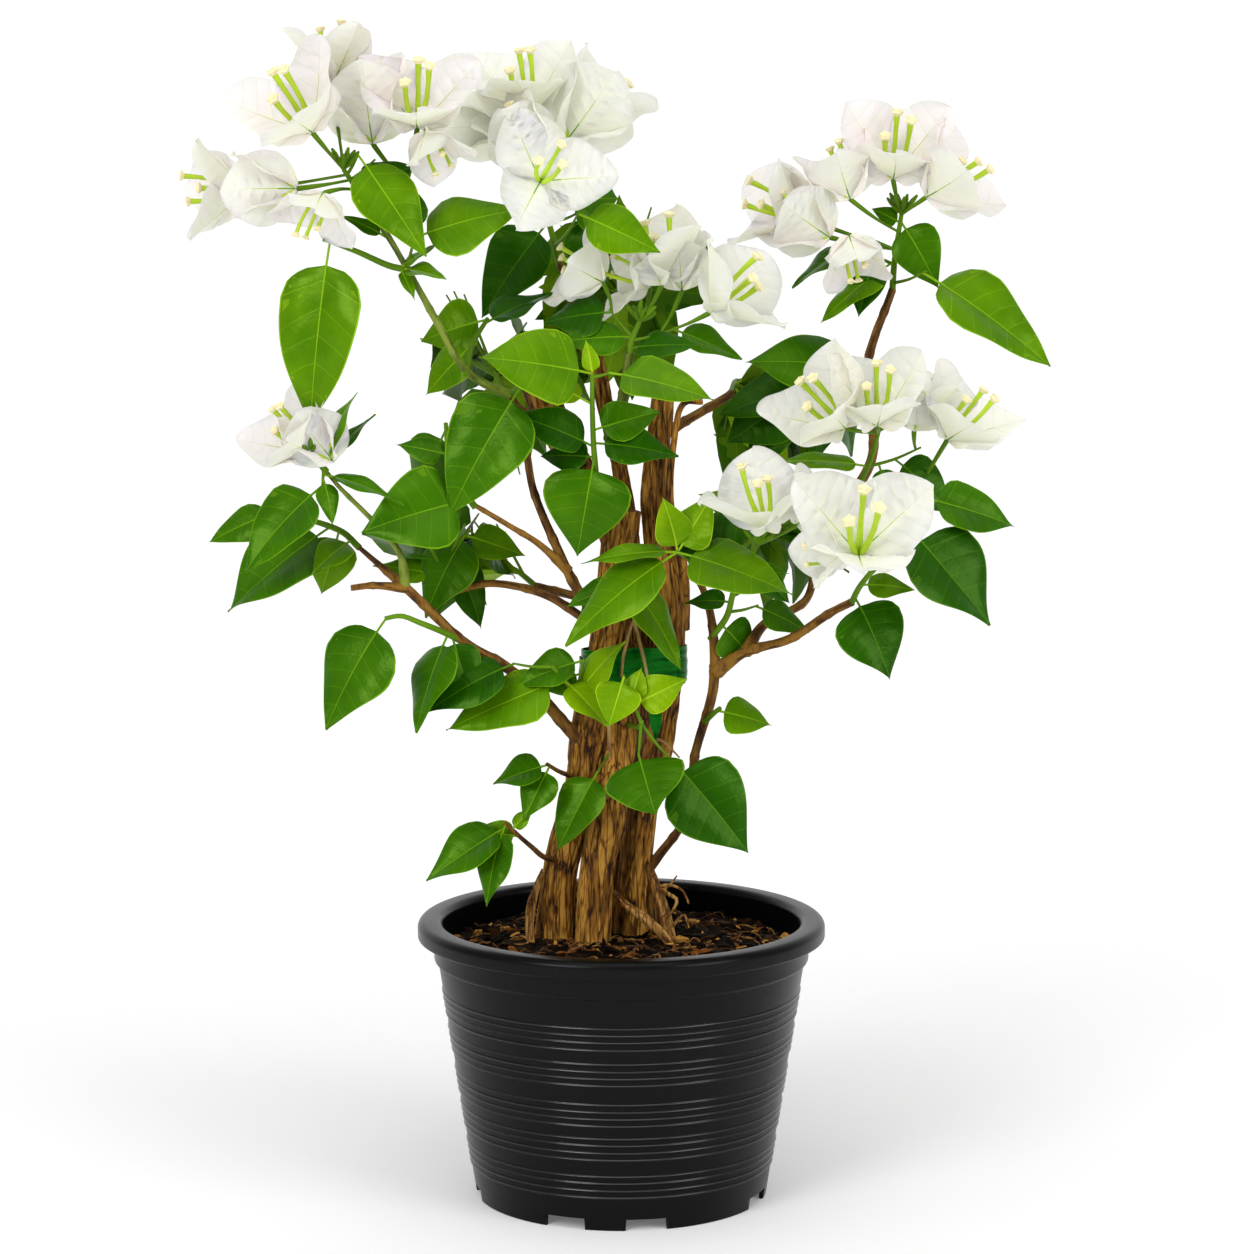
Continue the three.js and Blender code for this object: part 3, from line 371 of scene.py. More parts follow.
def noise(points, seed=0):
    """Smooth noise from 0 to 1 at points x 3: a number from each corner of the unit cell that a
    point lies in, blended by eased distances."""
    cell = np.floor(points)
    part = points - cell
    part = part * part * (3 - 2 * part)
    total = 0
    for corner in np.ndindex(2, 2, 2):
        key = (cell + corner) @ np.array([127.1, 311.7, 74.7]) + 17.3 * seed
        value = np.sin(key) * 43758.5453
        weight = np.prod(np.where(corner, part, 1 - part), axis=-1)
        total = total + weight * (value - np.floor(value))
    return total


def soil_height(x, y):
    """Height of the soil: a low heap that falls to the pot's wall, plus lumps of three sizes."""
    radius = np.hypot(x, y)
    heap = SOIL_EDGE + (SOIL_TOP - SOIL_EDGE) * np.clip((SOIL_RADIUS - radius) / HEAP_RUN, 0, 1) ** 0.8
    spot = np.stack([x, y, np.zeros_like(x)], axis=-1)
    lumps = noise(spot * 90, 1) + 0.7 * noise(spot * 210, 2) + 0.45 * noise(spot * 520, 3) - 1.07
    return heap + LUMP * lumps - 0.4 * MM


def square_to(direction, v):
    """The part of v that is square to a unit direction, as a unit vector."""
    v = v - direction * np.sum(direction * v, axis=-1, keepdims=True)
    return v / np.linalg.norm(v, axis=-1, keepdims=True)


def colour_by(tree, shader, value, stops):
    """Colours a surface by a value, which is read off between stops of a position and a colour."""
    node = add_node(tree, "ValToRGB", {"Fac": value})
    elements = node.color_ramp.elements
    for element, (position, colour) in zip(elements, (stops[0], stops[-1])):
        element.position = position
        element.color = (*colour, 1)
    for position, colour in stops[1:-1]:
        elements.new(position).color = (*colour, 1)
    tree.links.new(node.outputs["Color"], shader.inputs["Base Color"])


def speckled(name, dark, light, scale, roughness, bump_distance):
    """A material whose colour drifts between two tones in noise of one scale, with a rough grain."""
    material, tree, shader = material_of(name, dark, roughness, Specular_IOR_Level=0.05)
    spots = noise_at(tree, object_place(tree), scale, 6)
    colour_by(tree, shader, spots, [(0.36, dark), (0.66, light)])
    roughen(tree, shader, spots, 0.6, bump_distance)
    return material


def make_soil():
    """Rings from the middle of the top to the wall, then straight down and in under the plug."""
    radii = np.linspace(0.4 * MM, SOIL_RADIUS, 84)
    angles = np.radians(np.arange(0, 360, 1.8))
    top = turned(np.stack([radii, radii * 0], axis=-1), angles)
    top[..., 2] = soil_height(top[..., 0], top[..., 1])
    low_wall = [[SOIL_RADIUS - 4.6 * MM, 0.1], [70.8 * MM, SOIL_BOTTOM], [0.4 * MM, SOIL_BOTTOM]]
    points = np.concatenate([top, turned(np.array(low_wall), angles)])[::-1]
    mix = speckled("potting_mix", SOIL_DARK, SOIL_LIGHT, 160, 0.92, 0.0015)
    soil = build_mesh("potting_soil", [(points[None], 0)], [mix])
    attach(soil, "root")
    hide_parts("soil")


def scattered(count):
    """Random places on the soil, spread evenly over its area."""
    radius = np.sqrt(rng.uniform(0, 1, count)) * (SOIL_RADIUS - 4 * MM)
    turn = rng.uniform(0, 2 * np.pi, count)
    x, y = radius * np.cos(turn), radius * np.sin(turn)
    return np.stack([x, y, soil_height(x, y)], axis=-1)


def circle_of(u, v, sides):
    """Corners of a circle or ellipse that two directions span, as one more axis of points."""
    turn = 2 * np.pi * np.arange(sides) / sides
    return u[..., None, :] * np.cos(turn)[:, None] + v[..., None, :] * np.sin(turn)[:, None]


def make_chips():
    """Flakes of bark: short bars of five unequal corners, laid nearly flat, each end pinched."""
    place = scattered(CHIPS)
    turn = rng.uniform(0, np.pi, CHIPS)
    tilt = rng.normal(0, 0.3, CHIPS)
    along = np.stack([np.cos(turn) * np.cos(tilt), np.sin(turn) * np.cos(tilt), np.sin(tilt)], axis=-1)
    side = square_to(along, rng.normal(0, 1, (CHIPS, 3)) * [1, 1, 0.35])
    up = np.cross(along, side)
    length = rng.gamma(3, 1.5, CHIPS) * MM + 1.6 * MM
    reach = np.array([-0.5, -0.2, 0.25, 0.5])
    size = np.array([0.35, 1, 0.8, 0.25])
    length = length[:, None, None, None]
    wide = rng.uniform(0.16, 0.34, (CHIPS, 1, 1, 1)) * length
    rough = rng.uniform(0.6, 1.2, (CHIPS, len(reach), CHIP_CORNERS, 1))
    ring = circle_of(side, 0.45 * up, CHIP_CORNERS)[:, None]
    middle = place[:, None, None] + along[:, None, None] * reach[:, None, None] * length
    points = middle + ring * wide * rough * size[:, None, None]
    points[..., 2] += 0.3 * MM
    tone = rng.choice(len(CHIP_KINDS), CHIPS, p=[share for _, share in CHIP_KINDS.values()])
    tones = []
    for kind, (colour, _) in CHIP_KINDS.items():
        shaded = tuple(0.6 * part for part in colour)
        tones.append(speckled(kind, shaded, colour, 400, 0.8, 0.0008))
    chips = build_mesh("bark_chips", [(points, tone[:, None, None])], tones, sharp=35)
    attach(chips, "root")


def make_fibres():
    """Loose root fibres: thin threads on the soil, each bent one way and raised at its middle."""
    place = scattered(FIBRES)
    t = np.linspace(0, 1, FIBRE_STEPS + 1)
    turn = rng.uniform(0, 2 * np.pi, (FIBRES, 1)) + rng.normal(0, 1.3, (FIBRES, 1)) * t
    step = rng.uniform(5, 20, (FIBRES, 1)) * MM / FIBRE_STEPS
    x = place[:, :1] + np.cumsum(step * np.cos(turn), axis=1)
    y = place[:, 1:2] + np.cumsum(step * np.sin(turn), axis=1)
    shrink = np.minimum(1, (SOIL_RADIUS - 3 * MM) / np.hypot(x, y))
    x, y = x * shrink, y * shrink
    hop = rng.uniform(0.3, 2.6, (FIBRES, 1)) * MM * np.sin(np.pi * t)
    line = np.stack([x, y, soil_height(x, y) + 0.3 * MM + hop], axis=-1)
    thick = rng.uniform(0.25, 0.75, (FIBRES, 1)) * MM * (1 - 0.6 * t)
    forward = np.gradient(line, axis=1)
    forward /= np.linalg.norm(forward, axis=-1, keepdims=True)
    u = square_to(forward, np.array([0.0, 0.0, 1.0]))
    ring = circle_of(u, np.cross(forward, u), FIBRE_SIDES)
    points = line[:, :, None] + ring * thick[..., None, None]
    slots = rng.integers(0, 2, FIBRES)[:, None, None]
    tones = [
        speckled("fibre_tan", (0.07, 0.03, 0.008), (0.38, 0.19, 0.06), 300, 0.8, 0.0005),
        speckled("fibre_brown", (0.035, 0.018, 0.01), (0.1, 0.05, 0.024), 300, 0.8, 0.0005),
    ]
    fibres = build_mesh("soil_fibres", [(points, slots)], tones)
    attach(fibres, "root")


make_soil()
make_chips()
make_fibres()


# Stems: four old woody stems that lean together, with furrowed fibrous bark, and a thin one that
# hooks over beside them. They stand in the soil and hold each other up through the tie.
STEM_FOOT = 131.3
BARK_FURROW = 0.75 * MM
BARK_LUMPS = 1.6 * MM
USUAL_RADIUS = 9 * MM  # of a stem whose furrows and lumps have those sizes
OLD_BARK = [(0.028, 0.009, 0.001), (0.26, 0.107, 0.01), (0.5, 0.255, 0.038)]  # dark to pale
STEM_SIDES, SLIM_SIDES = 110, 24
ROOT_SWELL = 0.9 * MM
SWELL_REACH = 26 * MM
SUNK = 4 * MM  # how far a thick stem's foot goes down into the soil
STEMS = {
    "stem_left": (
        [[-34, 3, STEM_FOOT], [-30, 3, 168], [-20, 1, 205], [-16, -2, 238], [-8, -6, 275],
         [-3, -5, 312], [1, -4, 348]],
        [10, 8.8, 9.3, 9.5, 9.4, 9.2, 9.4, 9],
    ),
    "stem_centre": (
        [[-15, -8, STEM_FOOT], [-12, -9, 168], [-6, -8, 200], [0, 0, 238], [7, 7, 285], [3, 11, 345],
         [-9, 12, 403], [-18, 12, 436]],
        [9.5, 8.8, 9.4, 8.6, 8, 7, 4.5, 3.9, 4.4, 5],
    ),
    "stem_right": (
        [[8, 15, STEM_FOOT], [8, 12, 168], [12, 9, 200], [20, 5, 238], [23, 3, 298], [16, 4, 348],
         [19, 5, 383], [22, 6, 417]],
        [12, 8.6, 8.3, 8.4, 9, 8, 6.3, 6.3, 5.4],
    ),
    "stem_back": (
        [[-10, 33, STEM_FOOT], [-5, 30, 180], [5, 26, 235], [10, 24, 290], [-2, 27, 328],
         [-36, 34, 392], [-46, 35, 421]],
        [11, 9, 8.6, 8, 7.8, 8, 8.4, 9],
    ),
    "stem_side": (
        [[31, 12, 286], [31, 8, 305], [29, 1, 328], [24, -5, 352], [26, -7, 382], [30, -8, 400],
         [40, -10, 402]],
        [3.6, 3.6, 3, 2.4, 1.9, 1.6, 1.5],
    ),
}


def route_point(route, t):
    """Points at fractions t of a route: cubics through its points, whose slope at each is half the
    chord between the two neighbours, and the route runs straight on past its ends."""
    p = np.asarray(route, float)
    p = np.vstack([2 * p[0] - p[1], p, 2 * p[-1] - p[-2]])
    place = np.clip(np.asarray(t, float), 0, 1) * (len(p) - 3)
    k = np.minimum(place.astype(int), len(p) - 4)
    u = (place - k)[..., None]
    before, start, end, after = (p[k + i] for i in range(4))
    leaving, arriving = (end - before) / 2, (after - start) / 2
    bend = 3 * (end - start) - 2 * leaving - arriving
    return start + leaving * u + bend * u**2 + (2 * (start - end) + leaving + arriving) * u**3


def even_line(route, steps):
    """Points that divide a route into stretches of equal length, and the route's length."""
    t = np.linspace(0, 1, 201)
    gaps = np.linalg.norm(np.diff(route_point(route, t), axis=0), axis=1)
    run = np.r_[0, np.cumsum(gaps)]
    return route_point(route, np.interp(np.linspace(0, run[-1], steps + 1), run, t)), run[-1]


def carried_frames(line):
    """Two directions square to a line of points, carried along it without twist."""
    forward = np.gradient(line, axis=0)
    forward /= np.linalg.norm(forward, axis=1, keepdims=True)
    across = np.eye(3)[np.abs(forward[0]).argmin()]
    u = np.empty_like(line)
    for i, direction in enumerate(forward):
        across = square_to(direction, across)
        u[i] = across
    return u, np.cross(forward, u)


def spread_radius(thick, count):
    """Radii listed evenly from foot to tip, read off at count even steps."""
    return np.interp(np.linspace(0, 1, count), np.linspace(0, 1, len(thick)), thick)


def tube(line, radius, sides, relief=None):
    """A skin round a line of points: circles of the given radius, plus relief outward, rows x sides."""
    out = circle_of(*carried_frames(line), sides)
    reach = np.broadcast_to(np.asarray(radius)[:, None], out.shape[:2])
    if relief is not None:
        reach = reach + relief
    return (line[:, None] + out * reach[..., None])[None]


def bark_relief(rows, sides, length, radius, seed, furrow, lumps):
    """Furrows and plates of bark: noise drawn out along the stem is deepest along the lines where it
    crosses its middle value, over broad lumps and under a fine grain. Gives relief and its tone, which
    follows the relief: darker in the furrows as painted shade, lighter where it stands out as painted
    highlight."""
    turn = 2 * np.pi * np.arange(sides) / sides
    along = np.linspace(0, length, rows)[:, None]
    twist = turn + 0.9 * np.sin(along * 14 + seed)
    ring = np.stack(np.broadcast_arrays(np.cos(twist) * radius, np.sin(twist) * radius, along), axis=-1)
    coarse = np.abs(2 * noise(ring * [300, 300, 38], seed) - 1)
    medium = np.abs(2 * noise(ring * [640, 640, 85], seed + 1) - 1)
    fine = noise(ring * [1500, 1500, 300], seed + 2)
    broad = noise(ring * [90, 90, 24], seed + 3) - 0.5
    cuts = np.exp(-((coarse / 0.17) ** 2)) + 0.6 * np.exp(-((medium / 0.2) ** 2))
    # Painted shade and highlight: the tone is darker where the furrows cut in and lighter on the lumps.
    tone = np.clip(0.8 - 0.5 * cuts + 0.4 * (fine - 0.5) + 0.15 * broad, 0, 1)
    return lumps * broad - furrow * cuts + 0.35 * furrow * (fine - 0.5), tone


def stretched(tree, place, scale):
    """A place with each of its axes scaled."""
    return add_node(tree, "Mapping", {"Vector": place, "Scale": scale}).outputs["Vector"]


def times_plus(tree, value, factor, more=0.0):
    """A value times a factor, plus what is added."""
    sockets = {0: value, 1: factor, 2: more}
    return add_node(tree, "Math", sockets, operation="MULTIPLY_ADD").outputs["Value"]


def bark_material(name, crevice, body, ridge, roughness=0.82, cracked=0.0, high=1.0):
    """Bark coloured by its own relief, from dark furrows, which are painted shade, to pale ridges,
    which are partly worn and partly a painted highlight, with patches of drift and a fine grain that
    runs up
    the stem. Old bark is cracked: it is dark along the walls between the tall cells of a warped cell
    pattern, a painted shade in the cracks, and stands out between them as plates. high is the share of
    its lightness that the bark keeps well above the soil."""
    material, tree, shader = material_of(name, body, roughness, Specular_IOR_Level=0.25)
    place = object_place(tree)
    relief = add_node(tree, "Attribute", {}, attribute_name="bark_tone").outputs["Fac"]
    drift = noise_at(tree, place, 55, 4)
    fissure = noise_at(tree, stretched(tree, place, (620, 620, 130)), 1, 6, 0.62)
    tone = times_plus(tree, fissure, 0.9, times_plus(tree, drift, 0.2, relief))
    tone = times_plus(tree, tone, 0.83, -0.19)
    tall = stretched(tree, place, (260, 260, 22))
    warp = add_node(tree, "TexNoise", {"Vector": tall, "Scale": 1.4, "Detail": 3}).outputs["Color"]
    warped = add_node(tree, "VectorMath", {0: warp, 1: tall}, operation="ADD").outputs["Vector"]
    cells = add_node(tree, "TexVoronoi", {"Vector": warped, "Scale": 1}, feature="DISTANCE_TO_EDGE")
    # Painted shade: the cracks between the plates are darkened.
    walls = {"From Max": 0.09, "To Min": 1 - cracked}
    plates = ranged(tree, cells.outputs["Distance"], walls)
    rise = {"From Min": 0.16, "From Max": 0.27, "To Min": 1, "To Max": high}
    dim = ranged(tree, add_node(tree, "SeparateXYZ", {"Vector": place}).outputs["Z"], rise)
    tone = times_plus(tree, times_plus(tree, tone, plates), dim)
    # The ramp runs from painted shade in the furrows to a partly painted highlight on the ridges.
    colour_by(tree, shader, tone, [(0.26, crevice), (0.64, body), (0.96, ridge)])
    roughen(tree, shader, times_plus(tree, fissure, 0.6, plates), 0.8, 0.0009)
    return material


def set_tone(piece, tones):
    """Stores how high each point stands in the bark, for the material."""
    layer = piece.data.attributes.new("bark_tone", "FLOAT", "POINT")
    layer.data.foreach_set("value", np.concatenate([t.ravel() for t in tones]).astype(np.float32))


old_bark = bark_material("old_bark", *OLD_BARK, cracked=0.55, high=0.84)


def make_stem(name, route, thick, seed):
    """A stem with bark. A thick one swells into roots over its lowest part, in a cosine with three
    crests round it that grows as the square towards the foot."""
    line, length = even_line(np.array(route) * MM, int(max(40, len(route) * 34)))
    rows = len(line)
    slim = name == "stem_side"
    sides = SLIM_SIDES if slim else STEM_SIDES
    radius = spread_radius(thick, rows) * MM
    mean = radius.mean()
    scale = mean / USUAL_RADIUS
    furrow, lumps = BARK_FURROW * scale, BARK_LUMPS * scale
    relief, tone = bark_relief(rows, sides, length, mean, seed, furrow, lumps)
    if not slim:
        turn = 2 * np.pi * np.arange(sides) / sides
        low = np.clip(1 - np.linspace(0, length, rows)[:, None] / SWELL_REACH, 0, 1) ** 2
        relief += low * ROOT_SWELL * np.cos(3 * turn + seed)
        line[0, 2] -= SUNK
    points = tube(line, radius, sides, relief)
    stem = build_mesh("bark_" + name, [(points, 0)], [old_bark], sharp=80)
    set_tone(stem, [tone])
    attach(stem, "root")
    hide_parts(name)


for seed, (stem_name, (stem_route, stem_thick)) in enumerate(STEMS.items()):
    make_stem(stem_name, stem_route, stem_thick, 3.7 * seed + 1)


# Roots and dead twigs: thin roots that leave the stems' feet and curl over the soil, and a few dry
# sticks. Each is one tapering tube from its list of [x, y, z] points and its radii.
ROOTS = {
    "left": (
        [[-39, -2, 166], [-42, -5, 159], [-45, -8, 149], [-46, -10, 137], [-45, -12, 129]],
        [1.2, 2.4, 1.8],
    ),
    "diagonal": (
        [[-4, 2, 154], [3, -6, 148], [12, -12, 143], [21, -14, 135], [25, -15, 129]],
        [1.6, 2.9, 2.2],
    ),
    "spur": (
        [[14, 9, 166], [17, 6, 157], [20, 3, 147], [22, 1, 137], [23, 0, 129]],
        [2, 3.4, 4.6],
    ),
    "behind": (
        [[-20, 34, 150], [-32, 36, 140], [-42, 38, 129]],
        [4, 3, 1.8],
    ),
    "back_right": (
        [[-2, 38, 152], [10, 46, 140], [18, 52, 129]],
        [4, 3, 1.8],
    ),
    "curl": (
        [[13, 12, 166], [17, 6, 157], [23, 2, 153], [28, 0, 150], [26, -2, 145], [23, -3, 141]],
        [1, 1.2, 0.6],
    ),
    "forked": (
        [[20, 5, 156], [25, 3, 157], [31, 2, 154], [34, 0, 148]],
        [0.9, 0.5],
    ),
    "upturned": (
        [[21, 4, 154], [25, 2, 158], [28, 2, 162]],
        [0.8, 0.4],
    ),
    "pale": (
        [[18, -14, 135], [25, -13, 139], [30, -10, 144], [32, -9, 144], [34, -11, 138]],
        [1, 0.9, 0.4],
    ),
}
DRY_TWIGS = {
    "stick": (
        [[-20, -12, 199], [-17, -22, 202], [-10, -21, 206], [-2, -15, 207]],
        [0.9, 1.3, 1.5],
    ),
    "twiglet": (
        [[18, -2, 232], [21, -6, 232], [25, -12, 229], [29, -14, 225]],
        [1, 0.8, 0.5],
    ),
    "straw": (
        [[-6, -12, 247], [-6, -14, 243], [-6, -17, 232], [-5, -16, 224]],
        [0.7, 0.9, 0.6],
    ),
}
TUBE_FURROW, TUBE_LUMPS = 0.12, 0.22  # over the radius
ROOT_BARK = [(0.03, 0.01, 0.002), (0.24, 0.1, 0.018), (0.5, 0.28, 0.075)]  # dark to pale
DRY_BARK = [(0.1, 0.045, 0.012), (0.3, 0.16, 0.05), (0.5, 0.32, 0.12)]


def make_tubes(name, routes, sides, material, seed, step=2.2):
    """Tapering tubes from [x, y, z] routes, with relief in proportion to each one's thickness."""
    batches, tones = [], []
    for k, (route, thick) in enumerate(routes):
        length = np.linalg.norm(np.diff(np.array(route, float), axis=0), axis=1).sum()
        line, length = even_line(np.array(route) * MM, max(6, int(length / step)))
        radius = spread_radius(thick, len(line)) * MM
        mean = radius.mean()
        furrow, lumps = TUBE_FURROW * mean, TUBE_LUMPS * mean
        relief, tone = bark_relief(len(line), sides, length, mean, seed + k, furrow, lumps)
        batches.append((tube(line, radius, sides, relief), 0))
        tones.append(tone)
    piece = build_mesh(name, batches, [material], sharp=80)
    set_tone(piece, tones)
    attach(piece, "root")


root_bark = bark_material("root_bark", *ROOT_BARK, cracked=0.5)
dry_bark = bark_material("dry_bark", *DRY_BARK)
make_tubes("surface_roots", ROOTS.values(), 14, root_bark, 20)
make_tubes("dry_twigs", DRY_TWIGS.values(), 8, dry_bark, 40, step=3)


# Boughs: thin limbs that grow out of the stems, reddish brown where they are woody and green where
# they are young. Each starts inside the limb that bears it, with a swollen collar.
COLLAR_SWELL = 0.45
COLLAR_REACH = 12 * MM
KNOT_PITCH = 23 * MM  # from one leaf scar to the next
KNOT_SWELL = 0.16
KNOT_REACH = 1.6 * MM
BOUGH_SIDES = 14
YOUNG_BARK = [(0.03, 0.009, 0.001), (0.115, 0.045, 0.004), (0.26, 0.125, 0.014)]  # dark to pale
GREEN_BARK = [(0.04, 0.055, 0.004), (0.1, 0.15, 0.008), (0.2, 0.26, 0.025)]
BOUGHS = {
    "bough_left_high": (
        [[-5, -6, 284], [-16, -13, 300], [-26, -17, 318], [-42, -20, 356], [-47, -22, 380],
         [-54, -24, 406]],
        [2.8, 2.5, 2.3, 1.8],
    ),
    "shoot_left_high": (
        [[-54, -24, 406], [-75, -28, 418], [-89, -32, 442], [-103, -36, 468], [-118, -40, 494]],
        [1.8, 1.8, 1.8, 1.7],
    ),
    "bough_left_twig": (
        [[-26, -17, 319], [-40, -25, 333], [-53, -31, 342], [-72, -36, 354]],
        [1.8, 1.5, 1.2],
    ),
    "bough_left_middle": (
        [[-5, -6, 284], [-20, -1, 294], [-35, 4, 303], [-52, 8, 308], [-70, 10, 309], [-91, 12, 302]],
        [2.5, 2.2, 1.8, 1.6],
    ),
    "bough_left_low": (
        [[-17, -3, 228], [-28, -10, 241], [-42, -15, 258], [-58, -19, 272], [-78, -24, 285],
         [-106, -30, 313]],
        [3.2, 3, 2.8, 2.4],
    ),
    "bough_left_stub": (
        [[-105, -30, 312], [-120, -34, 314], [-132, -36, 313]],
        [2, 1.8],
    ),
    "bough_left_outer": (
        [[-106, -30, 313], [-119, -24, 323], [-130, -20, 332]],
        [1.8, 1.4],
    ),
    "shoot_left_outer": (
        [[-106, -30, 313], [-108, -32, 329], [-120, -36, 345], [-136, -40, 362], [-144, -42, 372]],
        [1.8, 1.5, 1.2, 1.1],
    ),
    "bough_right_slender": (
        [[8, 12, 158], [18, 8, 170], [33, 1, 194], [37, -6, 226], [46, -12, 262], [44, -16, 298],
         [34, -20, 325]],
        [2.5, 2.3, 2.5, 2.6, 2.4, 1.9],
    ),
    "bough_right_low": (
        [[46, -12, 268], [62, -18, 279], [83, -29, 287], [101, -42, 301], [112, -50, 308]],
        [2.8, 2.5, 2.2, 2],
    ),
    "bough_right_high": (
        [[62, -18, 279], [71, -8, 291], [92, 8, 301], [99, 15, 322], [115, 25, 350], [127, 34, 374],
         [124, 42, 415], [137, 50, 454]],
        [2.2, 2.2, 2.4, 2.2, 2],
    ),
    "bough_top_left": (
        [[-14, 12, 424], [-22, 16, 441], [-27, 22, 455], [-31, 26, 469]],
        [2, 1.8, 1.5],
    ),
    "bough_top_middle": (
        [[-5, 12, 381], [1, 3, 402], [3, -6, 418], [4, -9, 426]],
        [3.4, 3, 2],
    ),
    "bough_back_left": (
        [[-34, 34, 388], [-50, 50, 392], [-60, 66, 402]],
        [2.6, 2],
    ),
    "bough_back_top": (
        [[-14, 12, 428], [-10, 34, 440], [-2, 56, 446]],
        [2.2, 1.8],
    ),
    "bough_back_right": (
        [[20, 5, 384], [38, 34, 392], [56, 62, 400]],
        [2.8, 2],
    ),
    "bough_back_low_right": (
        [[10, 24, 296], [36, 48, 310], [60, 68, 320]],
        [2.8, 2],
    ),
    "bough_back_low_left": (
        [[10, 24, 290], [-18, 50, 296], [-44, 70, 300]],
        [2.8, 2],
    ),
}


def bough_batch(route, thick, seed):
    """A tapering tube whose radius swells at its foot and, a little, at each leaf scar along it."""
    line, length = even_line(np.array(route) * MM, max(16, int(np.ptp(route, axis=0).max() / 1.5)))
    rows = len(line)
    along = np.linspace(0, length, rows)
    radius = spread_radius(thick, rows) * MM
    mean = radius.mean()
    to_knot = (along + seed * 5 * MM) % KNOT_PITCH - KNOT_PITCH / 2
    radius = radius * (1 + COLLAR_SWELL * np.exp(-((along / COLLAR_REACH) ** 2)))
    radius = radius * (1 + KNOT_SWELL * np.exp(-((to_knot / KNOT_REACH) ** 2)))
    relief, tone = bark_relief(rows, BOUGH_SIDES, length, mean, seed, 0.1 * mean, 0.3 * mean)
    return (tube(line, radius, BOUGH_SIDES, relief), 0), tone


def make_boughs(name, members, material):
    """Joins the named boughs of one kind into one piece."""
    made = [bough_batch(*BOUGHS[member], 50 + k) for k, member in enumerate(members)]
    piece = build_mesh(name, [batch for batch, _ in made], [material], sharp=80)
    set_tone(piece, [tone for _, tone in made])
    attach(piece, "root")
    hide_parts(*members)


young_bark = bark_material("young_bark", *YOUNG_BARK, 0.7)
green_bark = bark_material("green_bark", *GREEN_BARK, 0.5)
green_limbs = [name for name in BOUGHS if name.startswith("shoot_")] + ["bough_top_middle"]
woody_limbs = [name for name in BOUGHS if name not in green_limbs]
make_boughs("woody_boughs", woody_limbs, young_bark)
make_boughs("young_shoots", green_limbs, green_bark)


# Tie: glossy green plastic tape wound three times round the stems, pulled into flat folds, with its
# loose end hanging down in front, and two strands of straw caught under it.
TAPE_RINGS = [  # lower and upper edge, how far out, and how far it tilts
    (261.2, 278.2, 0.0, 0.8),
    (262.8, 279.0, 0.35, -1.0),
    (261.6, 274.0, 0.7, 0.6),
]
TAPE_CLEAR = 0.6
TAPE_THICK = 0.3
TAPE_TILT_FROM = 2.2  # radians
LOOP_ANGLES, LOOP_POINTS = 720, 150
TAPE_GREEN = (0.003, 0.08, 0.002)
# Painted shade and highlight: dark green down in the folds, light green up on the crests.
FOLD_SHADE_GREENS = [(0.3, (0.001, 0.035, 0.001)), (0.75, (0.006, 0.17, 0.008))]
TIED = {"stem_left": 10.1, "stem_centre": 8.2, "stem_right": 9.1, "stem_back": 8.6}  # radii there
TAIL = [[19, -6, 268], [18, -10, 262], [17, -12, 254], [17, -13, 244], [17, -12, 234]]
TAIL_STEPS = 30
TAIL_THICK = 0.15 * MM
TAIL_RIDGE = 0.5 * MM
STRANDS = {
    "left": (
        [[6, -14, 294], [4, -15, 288], [3, -17, 284], [1, -18, 276], [0, -17, 266]],
        [0.7, 0.9, 0.7],
    ),
    "right": (
        [[6, -14, 294], [8, -15, 288], [9, -17, 284], [11, -18, 276], [13, -17, 266]],
        [0.7, 0.9, 0.7],
    ),
}


def taut_loop(z, angles, out):
    """The loop pulled taut round the tied stems at one height, in millimetres: along each angle the
    point of the furthest circle, so that it runs straight between stems."""
    reach, place = [], []
    direction = np.stack([np.cos(angles), np.sin(angles)], axis=-1)
    for name, radius in TIED.items():
        line, _ = even_line(STEMS[name][0], 400)
        centre = line[np.abs(line[:, 2] - z).argmin(), :2]
        reach.append(direction @ centre + radius)
        place.append(centre + (radius + out) * direction)
    return np.array(place)[np.argmax(reach, axis=0), np.arange(len(angles))]


def resampled(loop, count):
    """A closed loop of points spread evenly along its own length."""
    closed = np.vstack([loop, loop[:1]])
    run = np.r_[0, np.cumsum(np.linalg.norm(np.diff(closed, axis=0), axis=1))]
    at = np.linspace(0, run[-1], count, endpoint=False)
    return np.stack([np.interp(at, run, closed[:, k]) for k in range(closed.shape[1])], axis=-1)


def tape_turns():
    """Each turn is a flat strip bent round the taut loop: its outer face from top to bottom, then its
    inner face back up. Folds are noise drawn out along the loop."""
    angles = np.linspace(0, 2 * np.pi, LOOP_ANGLES, endpoint=False)
    share = np.linspace(1, 0, 9)
    batches = []
    for k, (low, high, out, tilt) in enumerate(TAPE_RINGS):
        loop = resampled(taut_loop((low + high) / 2, angles, TAPE_CLEAR + out), LOOP_POINTS)
        middle = loop.mean(axis=0)
        away = (loop - middle) / np.linalg.norm(loop - middle, axis=1, keepdims=True)
        turn = np.arctan2(away[:, 1], away[:, 0])
        height = low + (high - low) * share[None] + tilt * np.cos(turn - TAPE_TILT_FROM)[:, None]
        drawn = np.broadcast_arrays(away[:, :1] * 2.2, away[:, 1:] * 2.2, height / 2.4)
        drawn = np.stack(drawn, axis=-1)
        fold = 0.9 * (noise(drawn, 60 + k) - 0.4) + 0.35 * noise(drawn * 3, 64 + k)
        edge = np.stack([away[:, 0] * 5, away[:, 1] * 5, np.full(len(away), k)], axis=-1)
        height = height + 1.2 * (noise(edge, 70) - 0.5)[:, None] * (2 * share - 1)
        flat = loop[:, None] + away[:, None] * fold[..., None]
        outer = np.concatenate([flat, height[..., None]], axis=-1)
        inner = outer[:, ::-1].copy()
        inner[..., :2] -= away[:, None] * TAPE_THICK
        strip = np.concatenate([outer, inner], axis=1) * MM
        batches.append((strip[None], 0, True))
    return batches


